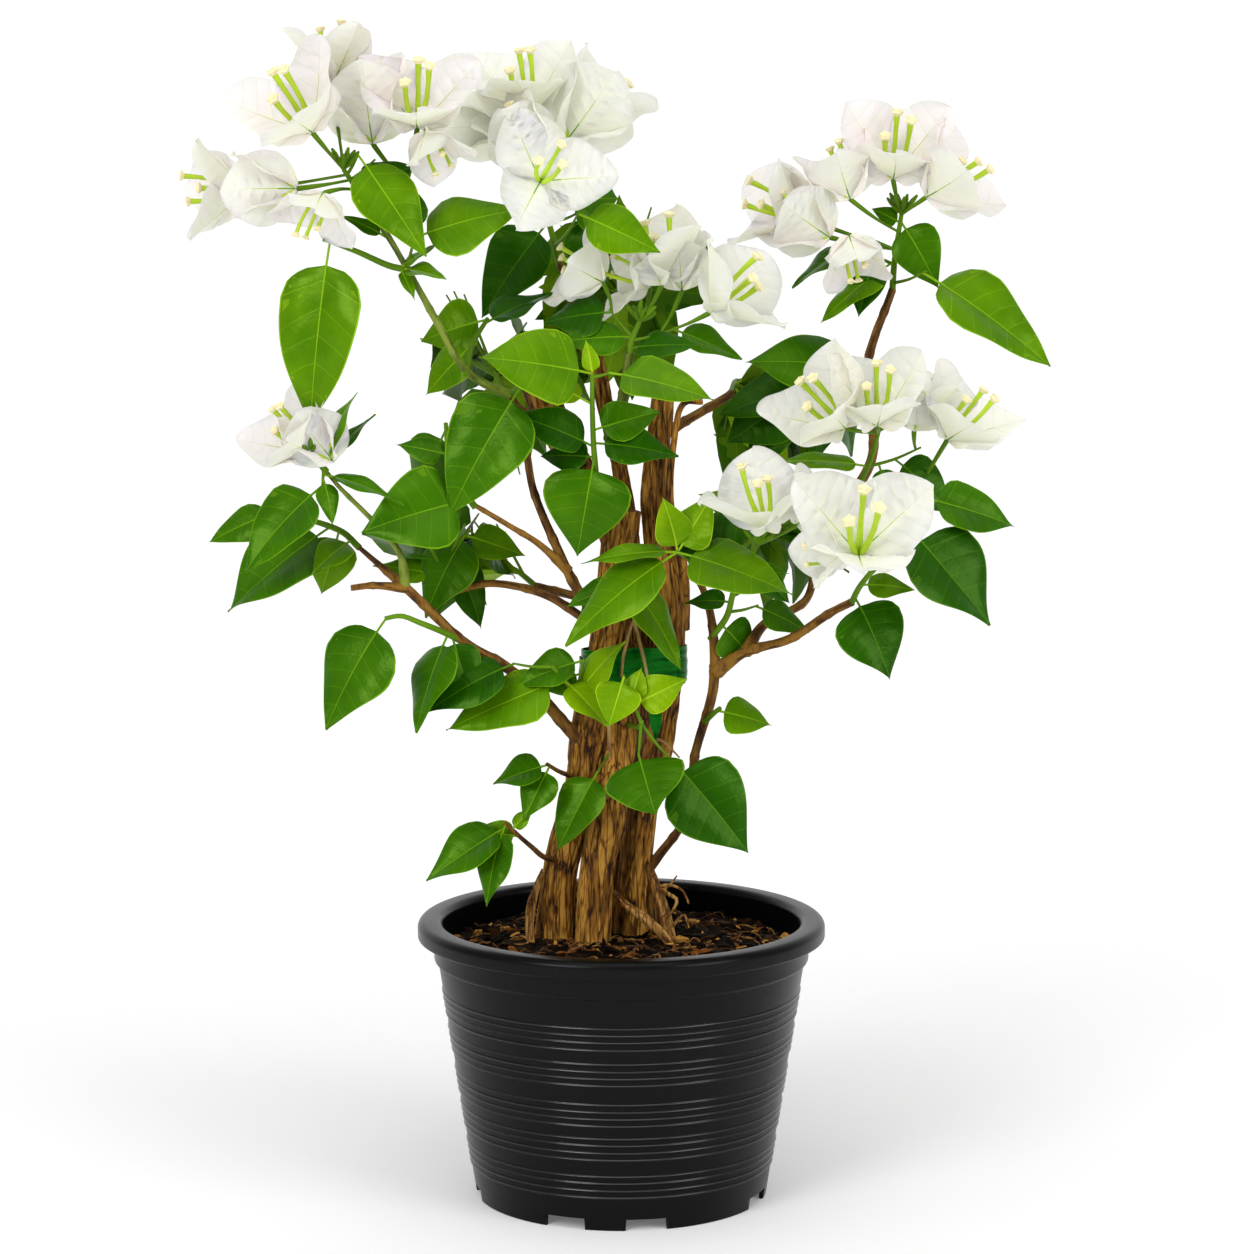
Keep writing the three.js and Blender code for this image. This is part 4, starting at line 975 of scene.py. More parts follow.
def tape_tail():
    """The loose end: a strip that hangs down, bowed across its width, and narrows to its tip."""
    line, _ = even_line(np.array(TAIL) * MM, TAIL_STEPS)
    half = np.linspace(0, 1, len(line))
    half = np.interp(half, [0, 0.5, 0.8, 1], [3.4, 3.6, 2.8, 0.4]) * MM
    down = np.gradient(line, axis=0)
    across = square_to(down / np.linalg.norm(down, axis=1)[:, None], np.array([1.0, 0.25, 0.0]))
    out = np.cross(across, down)
    out /= np.linalg.norm(out, axis=1, keepdims=True)
    corners = [[-1, 1], [-0.5, 1], [0, 1], [0.5, 1], [1, 1], [1, -1], [0, -1], [-1, -1]]
    wide, side = np.array(corners, float).T[..., None]
    lift = side * TAIL_THICK + TAIL_RIDGE * np.cos(np.pi * wide)
    strip = line[:, None] + across[:, None] * wide * half[:, None, None] + out[:, None] * lift
    return strip[None], 0


def tape_plastic():
    """Glossy green plastic, creased along the loop, darker in its folds as painted shade and lighter on
    the crests as painted highlight.
    """
    plastic, tree, shader = material_of("green_tape", TAPE_GREEN, 0.2, Specular_IOR_Level=0.28)
    shader.inputs["Specular Tint"].default_value = (0.12, 1, 0.2, 1)
    crease = noise_at(tree, stretched(tree, object_place(tree), (60, 60, 420)), 1, 3)
    roughen(tree, shader, crease, 0.7, 0.001)
    colour_by(tree, shader, crease, FOLD_SHADE_GREENS)
    return plastic


tape = build_mesh("green_tape", tape_turns() + [tape_tail()], [tape_plastic()], sharp=50)
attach(tape, "root")
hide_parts("tie_band")
make_tubes("straw_strands", STRANDS.values(), 8, dry_bark, 80, step=2)


# Sprays: the plant's own way of growing. Each spray is a stem that leaves a limb, twigs, leaves in
# their places and heads of flowers, and where it has a space it fills that with twigs and leaves by
# rule: round the stem by the golden angle, outward and hanging a little.
# A place is a twig's number, 0 for the stem, and the fraction along it. A twig is [place, bearing,
# lean, length]. A leaf is [place, bearing, lean, length, width, turn], and then its tone's number if
# that isn't 1. A flower is [place, joint, bearing, lean, spin, size of a bract, spread]. A space is a
# centre and a radius, twiglets and more are the twigs and leaves that grow in it, and seed is theirs.
GROWN_LEAF = 50
GROWN_RATIO = 0.62  # width over length
PETIOLE = 0.15  # over the blade's length
GOLDEN_ANGLE = 137.5
TO_FRONT = np.array([0.0, -1.0, 0.0])
SPRAYS = {
    "foliage_top_far_left": {
        "stem": [[-118, -40, 494], [-125, -41, 504], [-133, -42, 516]],
        "twigs": [[0.9, 60, 15, 12], [0.1, 40, -35, 28], [0.8, 40, -20, 16], [0.02, -66, -2, 12]],
        "leaves": [[1.95, -53, 20, 50, 32, 30, 2], [0.7, 20, -20, 30, 18, 40, 0],
            [4.95, 148, 10, 20, 8, 40]],
        "flowers": [[0.99, [-147, -54, 534], 122, 30, 0, 46, 52],
            [0.99, [-140, -16, 557], 92, 4, 40, 36, 42], [2.9, [-120, -26, 528], 96, 2, 0, 46, 32],
            [2.9, [-98, -32, 536], 88, 30, 0, 44, 52], [2.9, [-93, -42, 535], -65, 25, 30, 28, 45],
            [0.9, [-184, -6, 505], 176, 8, 60, 38, 50], [0.8, [-155, -46, 507], 178, -8, 0, 38, 30],
            [0.6, [-142, -56, 505], -112, 20, 0, 30, 58]],
    },
    "foliage_hanging_left": {
        "stem": [[-103, -36, 468], [-112, -39, 470], [-127, -44, 477], [-143, -46, 483]],
        "twigs": [[0.02, 76, 5, 16]],
        "leaves": [[0.93, -99, 12, 78, 43, 22, 2], [0.1, -4, 30, 22, 14, 60, 2],
            [0.15, -62, 20, 15, 8, 40, 2], [1.97, 22, 5, 46, 36, 45, 2],
            [1.95, 106, -10, 32, 22, 20, 0], [0.15, 40, 10, 20, 9, 60, 2]],
    },
    "foliage_top_left": {
        "stem": [[-31, 26, 469], [-36, 28, 488], [-42, 26, 510]],
        "twigs": [[0.5, 20, -40, 24], [0.22, 55, 68, 60], [0.6, 40, -20, 14]],
        "leaves": [[0.52, -130, 10, 50, 36, 30, 0], [1.9, -72, 0, 36, 30, 20, 0],
            [2.95, -22, 8, 38, 26, 25, 2], [3.95, -2, -20, 26, 34, 10]],
        "flowers": [[0.9, [-46, 20, 542], 98, 22, 0, 42, 48], [0.9, [-54, 8, 536], 178, 2, 0, 36, 25],
            [0.9, [-27, 12, 529], 52, 2, 0, 50, 34], [0.99, [-39, -22, 510], 60, 60, 0, 38, 72],
            [0.99, [-40, -6, 520], 128, 12, 0, 38, 30]],
    },
    "foliage_top_middle": {
        "stem": [[4, -9, 426], [5, -10, 432], [9, -6, 441]],
        "twigs": [[0.5, 15, -10, 24], [0.6, 130, -10, 18]],
        "leaves": [[0.6, 176, 15, 32, 20, 40], [0.2, 10, 20, 30, 20, 55, 0],
            [1.9, -19, 5, 32, 20, 49], [2.9, -178, 0, 29, 26, 35, 0]],
        "flowers": [[2.9, [-9, 0, 460], 150, 0, 0, 33, 56], [0.99, [20, 1, 459], 95, 10, 40, 42, 40],
            [1.6, [30, 4, 456], 96, 4, 0, 32, 36], [1.9, [44, -12, 446], 42, 20, 180, 44, 50],
            [0.99, [14, 8, 459], 160, 12, 270, 31, 60]],
    },
    "foliage_top_far_right": {
        "stem": [[137, 50, 454], [138, 49, 470], [141, 47, 492]],
        "twigs": [[0.1, 25, 50, 26], [0.4, 150, 20, 26]],
        "leaves": [[1.9, -30, 12, 68, 42, 52, 2], [2.95, -152, 10, 34, 18, 60],
            [0.45, -150, 25, 46, 20, 60, 2], [2.5, -104, 20, 28, 21, 20, 0],
            [0.92, -56, 20, 33, 26, 5], [0.9, 150, 10, 14, 11, 30]],
        "flowers": [[0.99, [136, 40, 510], 88, 34, 0, 46, 42],
            [0.99, [152, 28, 501], 34, 10, 0, 42, 50], [0.8, [114, 30, 500], 112, 8, 0, 36, 42],
            [0.6, [104, 26, 481], 148, 4, 0, 40, 38], [0.6, [91, 40, 490], 156, 10, 40, 40, 48],
            [0.6, [113, 18, 482], -78, 25, 0, 30, 45]],
    },
    "foliage_right_high": {
        "stem": [[115, 25, 350], [120, 8, 362], [124, -8, 376], [126, -20, 388]],
        "twigs": [[0.5, 20, 0, 28], [0.2, -10, -5, 32]],
        "leaves": [[0.5, 168, 10, 42, 16, 60, 2], [1.5, -36, 5, 34, 26, 30, 0],
            [0.3, -150, -10, 36, 26, 45, 0], [1.2, -70, 10, 22, 16, 30]],
        "flowers": [[0.99, [109, -32, 391], 134, 28, 0, 44, 48],
            [0.99, [124, -40, 393], 92, 30, 0, 42, 46], [2.9, [160, -18, 384], 55, 20, 0, 40, 50],
            [1.9, [144, -12, 388], 78, 4, 60, 32, 36]],
    },
    "foliage_right_behind": {
        "stem": [[124, 42, 416], [112, 50, 411], [98, 54, 404], [82, 58, 396]],
        "leaves": [[0.1, 169, 20, 50, 38, 45], [0.62, -170, 15, 46, 34, 40, 0],
            [0.85, -147, 15, 37, 34, 20, 0], [0.98, -115, 15, 34, 26, 30, 0],
            [0.4, -112, 0, 40, 28, 40, 0], [0.5, -60, -20, 40, 28, 50, 0]],
    },
    "foliage_right_front": {
        "stem": [[112, -50, 308], [114, -60, 315], [117, -72, 322], [124, -78, 332]],
        "twigs": [[0.6, 50, 5, 36], [1.9, 60, -20, 20]],
        "leaves": [[1.95, -48, 10, 52, 46, 30, 0], [2.95, -14, -10, 42, 28, 45],
            [0.5, 5, 10, 22, 14, 40, 2], [0.15, -60, 20, 37, 37, 15, 0]],
        "flowers": [[0.99, [112, -98, 337], 88, 46, 0, 50, 50],
            [0.95, [105, -88, 336], 176, 35, 60, 26, 45]],
    },
    "foliage_centre_right": {
        "stem": [[45, -15, 286], [52, -22, 297], [55, -30, 310], [60, -40, 324], [66, -50, 336]],
        "twigs": [[0.3, 10, -20, 16]],
        "leaves": [[0.8, -42, -10, 28, 15, 20, 0], [0.7, 4, 10, 20, 12, 50],
            [1.9, -20, 0, 26, 19, 45], [0.15, -45, -15, 22, 24, 20], [0.4, 172, -10, 20, 13, 40, 0],
            [0.9, 160, -20, 42, 38, 35, 0]],
        "flowers": [[0.99, [70, -55, 344], 102, 22, 180, 42, 50],
            [0.99, [85, -44, 345], 50, 15, 0, 30, 48]],
    },
    "foliage_left_flower": {
        "stem": [[-144, -42, 372], [-147, -44, 376], [-150, -48, 380]],
        "twigs": [[0.02, -95, 5, 9]],
        "leaves": [[0.2, 74, 10, 34, 18, 60, 2], [0.1, 52, -15, 32, 12, 60],
            [1.95, -143, 20, 48, 33, 42], [1.5, -70, 20, 20, 12, 30], [1.3, -10, 10, 36, 12, 60]],
        "flowers": [[0.99, [-151, -38, 380], 130, 25, 0, 37, 52],
            [0.99, [-139, -46, 376], 124, 5, 0, 34, 26]],
    },
    "foliage_left_outer": {
        "stem": [[-130, -20, 332], [-137, -16, 338], [-148, -12, 342], [-162, -6, 345], [-172, 0, 347]],
        "leaves": [[0.4, -148, 20, 57, 46, 40], [0.3, -106, 0, 30, 26, 10, 2],
            [0.98, -160, 5, 32, 20, 38], [0.1, -152, 50, 28, 18, 44, 2]],
    },
    "foliage_left_middle": {
        "stem": [[-72, -36, 354], [-78, -34, 362], [-84, -28, 376], [-86, -18, 392]],
        "leaves": [[0.1, -170, 20, 47, 44, 28, 1], [0.95, -115, -10, 40, 34, 31],
            [0.7, 165, 10, 22, 15, 30], [0.3, -140, -20, 34, 24, 20]],
    },
    "foliage_left_upper": {
        "stem": [[-54, -24, 406], [-48, -34, 412], [-42, -40, 412]],
        "leaves": [[0.5, -124, 15, 63, 44, 14]],
    },
    "foliage_left_behind": {
        "stem": [[-75, -28, 418], [-73, -14, 430], [-66, 2, 442]],
        "leaves": [[0.98, -168, 0, 30, 29, 20, 2], [0.5, -138, 5, 29, 23, 37, 2],
            [0.9, 30, -20, 34, 22, 50, 0]],
    },
    "foliage_centre_shoot": {
        "stem": [[-2, -6, 338], [-10, -18, 354], [-13, -26, 376], [-14, -29, 398], [-14, -31, 418]],
        "twigs": [[0.97, 15, 10, 9]],
        "leaves": [[0.5, -101, 12, 42, 44, 5], [0.56, 152, 10, 38, 25, 45, 0],
            [0.58, -2, 5, 36, 25, 40, 0], [0.5, 175, -20, 26, 17, 30, 0],
            [0.99, 165, 25, 50, 42, 30, 2], [1.95, -6, 20, 46, 30, 55, 2],
            [0.98, 95, 0, 15, 9, 20, 3], [0.8, 151, -10, 44, 14, 20, 3], [0.65, 18, -15, 32, 22, 30]],
    },
    "foliage_left_low_front": {
        "stem": [[-80, -25, 286], [-88, -32, 291], [-98, -38, 296], [-107, -42, 300], [-115, -44, 299]],
        "leaves": [[0.98, -126, 12, 53, 42, 34], [0.16, -116, 30, 44, 30, 50],
            [0.1, -72, 20, 28, 22, 20, 0]],
    },
    "foliage_left_low_back": {
        "stem": [[-91, 12, 302], [-92, 14, 314], [-84, 14, 326], [-76, 16, 336]],
        "leaves": [[0.98, -125, 20, 42, 34, 36, 1], [0.9, -17, 0, 28, 19, 20, 2],
            [0.98, -40, -35, 40, 26, 50], [0.3, 166, -10, 30, 18, 40, 2],
            [0.6, -60, 0, 36, 22, 30, 0]],
        "space": [-80, 40, 320, 52],
        "seed": 11,
        "twiglets": 2,
        "more": 5,
    },
    "foliage_middle_left": {
        "stem": [[-12, -4, 250], [-19, -20, 256], [-26, -29, 264], [-34, -32, 274]],
        "twigs": [[0.98, 175, 0, 20], [0.5, 76, 10, 18]],
        "leaves": [[0.78, -160, 10, 54, 34, 46, 2], [1.95, -160, 10, 42, 28, 50, 0],
            [2.95, -167, 5, 31, 22, 50], [2.6, -160, 5, 17, 17, 20], [0.75, -38, 25, 27, 21, 45, 3],
            [0.45, 58, 25, 34, 20, 40, 3]],
    },
    "foliage_front_high": {
        "stem": [[34, -20, 325], [32, -30, 328], [30, -40, 330], [27, -48, 332]],
        "leaves": [[0.98, -150, 12, 60, 32, 50, 2], [0.98, 176, 5, 40, 15, 70, 2],
            [0.95, 100, 10, 24, 20, 20, 3], [0.95, 60, 0, 28, 24, 25, 3],
            [0.98, -11, 25, 53, 36, 50, 2]],
    },
    "foliage_front_middle": {
        "stem": [[-3, -5, 300], [0, -18, 305], [1, -26, 314], [1, -30, 320]],
        "leaves": [[0.85, -47, 5, 46, 25, 55, 2], [0.8, -138, 10, 28, 18, 38],
            [0.6, -170, 20, 26, 17, 45]],
    },
    "foliage_front_low": {
        "stem": [[2, 2, 240], [8, -24, 242], [10, -44, 248]],
        "twigs": [[0.95, -95, 8, 16], [0.9, -50, 5, 25], [0.95, 110, 5, 26], [0, -123, 38, 32]],
        "leaves": [[1.97, -71, 62, 38, 41, 5], [2.95, -46, 8, 51, 44, 22, 0],
            [3.95, -108, 15, 22, 23, 5, 3], [3.4, 30, 10, 25, 20, 25, 3], [3.5, 80, 0, 14, 13, 20, 3],
            [4.95, -120, 15, 39, 27, 40]],
    },
    "foliage_right_small": {
        "stem": [[41, -9, 242], [45, -16, 247], [49, -20, 251]],
        "leaves": [[0.8, -10, 5, 24, 25, 45, 2]],
    },
    "foliage_low_left": {
        "stem": [[-29, 2, 170], [-38, -12, 174], [-46, -18, 182], [-58, -24, 194]],
        "woody": True,
        "leaves": [[0.95, -152, 12, 42, 28, 52], [0.8, 172, 0, 20, 14, 10, 2],
            [0.98, -112, 20, 36, 22, 45], [0.9, 50, 10, 13, 9, 30, 2]],
    },
    "foliage_low_middle": {
        "stem": [[-19, 0, 212], [-29, -13, 217], [-37, -20, 223]],
        "woody": True,
        "leaves": [[0.95, -166, 5, 25, 22, 50], [0.9, -118, 22, 26, 21, 35]],
    },
    "foliage_back_left": {
        "stem": [[-60, 66, 402], [-66, 82, 410], [-70, 98, 414]],
        "space": [-64, 96, 400, 58],
        "seed": 21,
        "twiglets": 4,
        "more": 15,
    },
    "foliage_back_top": {
        "stem": [[-2, 56, 446], [2, 76, 452], [6, 94, 456]],
        "space": [6, 96, 446, 57],
        "seed": 33,
        "twiglets": 4,
        "more": 13,
    },
    "foliage_back_right": {
        "stem": [[56, 62, 400], [58, 83, 404], [60, 104, 404]],
        "space": [58, 110, 392, 58],
        "seed": 47,
        "twiglets": 4,
        "more": 13,
    },
    "foliage_back_low_right": {
        "stem": [[60, 68, 320], [72, 84, 326], [80, 98, 328]],
        "space": [74, 98, 320, 54],
        "seed": 52,
        "twiglets": 3,
        "more": 12,
    },
    "foliage_back_low_left": {
        "stem": [[-44, 70, 300], [-54, 86, 306], [-62, 100, 308]],
        "space": [-56, 98, 302, 52],
        "seed": 68,
        "twiglets": 3,
        "more": 12,
    },
}


def unit(v):
    """One vector made one unit long."""
    return v / np.linalg.norm(v)


def heading(bearing, lean):
    """A direction from its bearing in the front view, 0 right and 90 up, and its lean to the front."""
    round_view, forward = np.radians([bearing, lean])
    flat = np.cos(forward)
    return np.array([np.cos(round_view) * flat, -np.sin(forward), np.sin(round_view) * flat])


def seeded(seed):
    """The same numbers from 0 to 1 for the same seed."""
    state = seed

    def draw():
        nonlocal state
        state = state * 16807 % 2147483647
        return state / 2147483647

    return draw


def point_at(twigs, place):
    """Where a place is: its whole part is a twig's number, the rest a fraction along the twig."""
    return route_point(twigs[int(place)], place % 1)


def side_twig(start, bearing, lean, length):
    """A twig that sags a little: its start, its middle and its tip."""
    tip = start + heading(bearing, lean) * length
    return np.array([start, (start + tip) / 2 - [0, 0, 0.04 * length], tip])


def leaf_face(along, bearing, turn):
    """The way a leaf's upper side looks: to the front, turned by some degrees towards the sky."""
    front = square_to(along, TO_FRONT)
    upward = np.cross(front, along)
    if np.cos(np.radians(bearing)) < 0:
        upward = -upward
    return front * np.cos(np.radians(turn)) + upward * np.sin(np.radians(turn))


def outward(route, t, turn):
    """A direction that leaves a twig at a fraction along it, turned round it and drawn forward."""
    forward = unit(route_point(route, min(t + 0.0001, 1)) - route_point(route, t - 0.0001))
    u = square_to(forward, np.array([0.3, -1, 0.2]))
    v = np.cross(forward, u)
    turn = np.radians(turn)
    return unit(u * np.cos(turn) + v * np.sin(turn) + 0.55 * forward)


def grow(space, twigs, twiglets, leaves, draw):
    """Adds twigs by rule in a ball of space, and gives leaves on them with the number of the twig
    that bears each. A leaf that would leave the ball is skipped."""
    centre, room = np.array(space[:3], float), space[3]
    first = len(twigs)
    for k in range(twiglets):
        t = 0.3 + 0.65 * k / twiglets
        start = route_point(twigs[0], t)
        away = outward(twigs[0], t, k * GOLDEN_ANGLE + 40 * draw())
        twigs.append([start, start + away * room * (0.55 + 0.25 * draw())])
    grown = []
    for k in range(leaves):
        bearer = 0 if k % 4 == 0 else first + k % twiglets
        twig = twigs[bearer]
        t = 0.35 + 0.64 * draw()
        along = outward(twig, t, k * GOLDEN_ANGLE + 50 * draw())
        along = unit(along - [0, 0, 0.1 + 0.8 * draw()])
        length = GROWN_LEAF * (0.7 + 0.45 * draw())
        foot = route_point(twig, t)
        away = unit(foot * [1, 1, 0])
        skyward = np.array([2 * draw() - 1, 2 * draw() - 1, 0.7])
        face = square_to(along, away + skyward)
        if np.linalg.norm(foot + along * length * (1 + PETIOLE) - centre) < room:
            grown.append((bearer, (foot, along, face, length, length * GROWN_RATIO)))
    return grown


# Blades: leaves and bracts are thin closed blades. A short round stalk opens into a blade with a
# midrib, swept side veins and a pale margin, which are strips of the mesh with a colour of their own.
# Lengths in a form are shares of the blade's length or half width unless they are times MM.
ACROSS = [-1, -0.96, -0.68, -0.35, 0.35, 0.68, 0.96, 1]
LEAF_FORM = {
    "stalk": PETIOLE, "stalk_half": 0.6 * MM, "droop": 0.17, "outline": (0.48, 1.2), "veins": 5,
    "vein_half": 0.003, "sweep": 0.24, "fold": 0.34, "curl": 0.3, "wave": 0.022, "waves": 1.7,
    "quilt": 0.008, "thick": 0.32 * MM, "keel": 0.5 * MM, "rib": 0.42 * MM, "across": ACROSS,
    "looks": (0.07, 0.28, 0.5, 0.07, 0.16),
}
BACK_FORM = {**LEAF_FORM, "veins": 0, "across": [-1, -0.55, 0.55, 1]}
BRACT_FORM = {
    "stalk": 0, "stalk_half": 0.9 * MM, "droop": -0.06, "outline": (0.44, 0.7), "veins": 5,
    "vein_half": 0.0026, "sweep": 0.3, "fold": 0.2, "curl": -0.1, "wave": 0.05, "waves": 1.6,
    "quilt": 0.016, "thick": 0.22 * MM, "keel": 0.3 * MM, "rib": 0.4 * MM, "across": ACROSS,
    "looks": (0.06, 0.2, 0.5, 0.05, 0.05),
}
NEAR_STALK = [-1, -0.6, -0.25, -0.05, 0, 0.01, 0.022, 0.036]  # rows of a blade with side veins
NEAR_TIP = [0.87, 0.93, 0.97, 1]
RIB = 0.02  # stands for the midrib among the columns, until its true width is known
UPPER, VEIN, UNDER, SIDE_VEIN = 0, 1, 2, 3


def blade_layout(form):
    """Rows along a blade, from -1 at the stalk's foot to 0 where the blade starts and 1 at its tip,
    with a close pair of rows for each side vein; and columns across it, over the top and back."""
    at = np.linspace(0.09, 0.76, form["veins"])
    if form["veins"]:
        thirds = at[:-1, None] + np.diff(at)[:, None] * [1 / 3, 2 / 3]
        full = np.r_[0.05, thirds.ravel(), 0.81]
        sides = at[:, None] + form["vein_half"] * np.array([-1, 1])
        rows = np.r_[NEAR_STALK, full, sides.ravel(), NEAR_TIP]
    else:
        full = np.array([0.05, 0.14, 0.3, 0.5, 0.7])
        rows = np.r_[-1, -0.2, 0, full, 0.88, 1]
    rows = np.sort(rows if form["stalk"] else rows[rows >= 0])
    top = np.sort(np.r_[form["across"], -RIB, RIB])
    columns = np.r_[top, top[np.abs(top) < 0.9][::-1]]
    last = len(top) - 1
    strip = np.full((len(rows) - 1, len(columns)), UPPER)
    strip[:, last:] = UNDER
    if form["veins"]:
        strip[np.diff(rows) < 2.5 * form["vein_half"], :last] = SIDE_VEIN
        strip[:, [0, last - 1]] = VEIN
    under_rib = len(top) + np.argmin(np.abs(columns[len(top):] - RIB))
    strip[:, [last // 2, under_rib]] = VEIN
    strip[rows[:-1] < 0] = VEIN
    return rows, columns, np.isin(rows, full).astype(float), strip


def outline_width(form, s):
    """Half width along the blade over its greatest: a power of the distance from the base times a
    power of the distance from the tip."""
    low, high = form["outline"]
    peak = low / (low + high)
    s = np.clip(s, 0, 1)
    return s**low * (1 - s) ** high / (peak**low * (1 - peak) ** high)


def blades(form, foot, along, face, length, width, look):
    """Blades as copies x rows x columns x 3. The middle line runs along, and droops as the square of
    the distance. Across it the blade folds up from the midrib, curls down at the margin, waves, and
    swells between the side veins. look holds each blade's bend, twist, phase, droop and fold."""
    rows, columns, swell, _ = blade_layout(form)
    s, x = rows[None, :, None], columns[None, None, :]
    length, half = length[:, None, None], width[:, None, None] / 2
    bend, twist, phase, more_droop, fold = (look[:, k, None, None] for k in range(5))
    stalk = form["stalk"] * length
    swept = s + form["sweep"] * np.abs(x) * (1 - s) * np.clip(s / 0.15, 0, 1)
    distance = np.where(s < 0, stalk * (1 + s), stalk + swept * length)
    run = distance / (stalk + length)
    round_part = np.clip(1 - np.maximum(s, 0) / 0.05, 0, 1)
    reach = half * outline_width(form, swept)
    reach = np.maximum(reach, round_part * form["stalk_half"])
    reach = np.maximum(reach, 0.12 * MM)
    rib = form["rib"] * (1 - 0.8 * np.clip(s, 0, 1)) / reach
    x = np.where(np.abs(x) == RIB, np.sign(x) * np.minimum(rib, 0.3), x)
    circle = np.sqrt(np.clip(1 - x**2, 0, 1)) * form["stalk_half"]
    below = (np.arange(len(columns)) > len(form["across"]) + 1)[None, None]
    in_rib = (np.abs(columns) == RIB)[None, None]
    size = np.abs(x)
    lift = (form["fold"] + fold) * size * reach - form["curl"] * x**2 * reach
    waves = np.sin(2 * np.pi * (form["waves"] * swept + phase + 0.3 * np.sign(x)))
    lift = lift + form["wave"] * length * x**2 * waves
    lift = lift + form["quilt"] * length * swell[None, :, None] * (1 - x**2) * ~in_rib
    lift = lift - below * (form["thick"] + form["keel"] * in_rib * np.clip(1 - s, 0, 1))
    lift = round_part * np.where(below, -circle, circle) + (1 - round_part) * lift
    angle = twist * np.clip(run, 0, 1)
    side = np.cross(along, face)[:, None, None]
    along, face = along[:, None, None], face[:, None, None]
    turned_side = side * np.cos(angle)[..., None] + face * np.sin(angle)[..., None]
    turned_face = face * np.cos(angle)[..., None] - side * np.sin(angle)[..., None]
    total = (stalk + length) * run**2
    middle = foot[:, None, None] + along * distance[..., None]
    middle = middle - face * ((form["droop"] + more_droop) * total)[..., None]
    middle = middle + side * (bend * total)[..., None]
    return middle + turned_side * (x * reach)[..., None] + turned_face * lift[..., None]


def placed_blades(form, places):
    """Blades from a list of (foot, along, face, length, width) in millimetres. Each one's bend, twist,
    phase of its waves, extra droop and extra fold are drawn evenly up to the form's looks."""
    foot, along, face, length, width = (np.array(part) for part in zip(*places))
    looks = rng.uniform(-1, 1, (len(places), 5)) * form["looks"]
    return blades(form, foot * MM, along, face, length * MM, width * MM, looks)


# Leaves are glossy. Old ones are deep green and young ones yellow-green, and each tone has an upper
# side, a vein and a paler underside. The side veins stand out only a little.
LEAF_TONES = {
    "deep": ((0.009, 0.062, 0.0004), (0.07, 0.19, 0.004), (0.04, 0.12, 0.003)),
    "green": ((0.023, 0.103, 0.0005), (0.12, 0.27, 0.005), (0.075, 0.18, 0.004)),
    "fresh": ((0.055, 0.165, 0.0006), (0.2, 0.38, 0.008), (0.13, 0.26, 0.005)),
    "lime": ((0.1, 0.235, 0.001), (0.32, 0.5, 0.015), (0.21, 0.37, 0.008)),
}
SIDE_VEIN_SHARE = 0.3
USUAL_TONE = 1
BACK_TONE_SHARES = [0.4, 0.38, 0.18, 0.04]


def blade_surface(name, colour, roughness, drift_to, subsurface=0.0, **sockets):
    """Living tissue: one colour that drifts a little, with a fine pebbled surface."""
    material, tree, shader = material_of(name, colour, roughness, **sockets)
    shader.inputs["Specular Tint"].default_value = (*(np.array(colour) / max(colour)) ** 0.35, 1)
    shader.inputs["Subsurface Weight"].default_value = subsurface
    shader.inputs["Subsurface Radius"].default_value = (1.0, 1.0, 0.6)
    shader.inputs["Subsurface Scale"].default_value = 2.5 * MM
    place = object_place(tree)
    stops = [(0.35, colour), (0.7, np.array(colour) * drift_to)]
    colour_by(tree, shader, noise_at(tree, place, 38, 3), stops)
    roughen(tree, shader, noise_at(tree, place, 500), 0.35, 0.0004)
    return material


def leaf_materials(tone):
    """Upper side, veins and margin, and underside of one tone of leaf."""
    upper, vein, under = (np.array(colour) for colour in LEAF_TONES[tone])
    side_vein = upper + SIDE_VEIN_SHARE * (vein - upper)
    glossy = {"Specular_IOR_Level": 0.3}
    return [
        blade_surface("leaf_" + tone, upper, 0.28, (1.9, 1.5, 1), **glossy),
        blade_surface("leaf_vein_" + tone, vein, 0.4, 1.1),
        blade_surface("leaf_under_" + tone, under, 0.5, (1.3, 1.2, 1)),
        blade_surface("leaf_side_vein_" + tone, side_vein, 0.3, (1.7, 1.4, 1), **glossy),
    ]


# Flowers: three papery white bracts round three slender tubes with starred cream mouths, on a stalk.
BRACT_WIDTH = 0.98
TUBE_RUN = np.array([0, 0.1, 0.28, 0.5, 0.74, 0.9, 1])
TUBE_RADIUS = np.array([0.8, 1.45, 1.45, 1.2, 1.2, 1.5, 1.6]) * MM
USUAL_BRACT = 43  # whose flower's tubes have those radii
TUBE_LENGTHS = 0.73 * np.array([1.12, 1, 0.82])  # over the bract's
TUBE_SPREAD = [9, 15, 12]
TUBE_SIDES = 8
STAR_RADIUS = 3.5 * MM
STAR_POINTS = 5
BUDS = 12
BUD_TURN = 2.4  # the golden angle in radians
BUD_REACH = (6, 14)
BUD_THICK = [0.5, 0.8, 1.5, 0.6]
STALK_THICK = [0.7, 0.75, 1.2, 1.4]
BLUSHED = ("foliage_top_far_left", "foliage_top_far_right", "foliage_left_flower")


def flower_axes(axis, degrees):
    """A direction square to a flower's axis, turned round it from the front."""
    front = square_to(axis, TO_FRONT)
    across = np.cross(axis, front)
    turn = np.radians(degrees)
    return front * np.cos(turn) + across * np.sin(turn)


def bract_places(joint, bearing, lean, spin, size, spread):
    """Foot, along, face, length and width of a flower's three bracts."""
    axis = heading(bearing, lean)
    tilt = np.radians(spread)
    made = []
    for k in range(3):
        out = flower_axes(axis, spin + 120 * k)
        along = axis * np.cos(tilt) + out * np.sin(tilt)
        face = axis * np.sin(tilt) - out * np.cos(tilt)
        made.append((np.array(joint, float), along, face, size, BRACT_WIDTH * size))
    return made


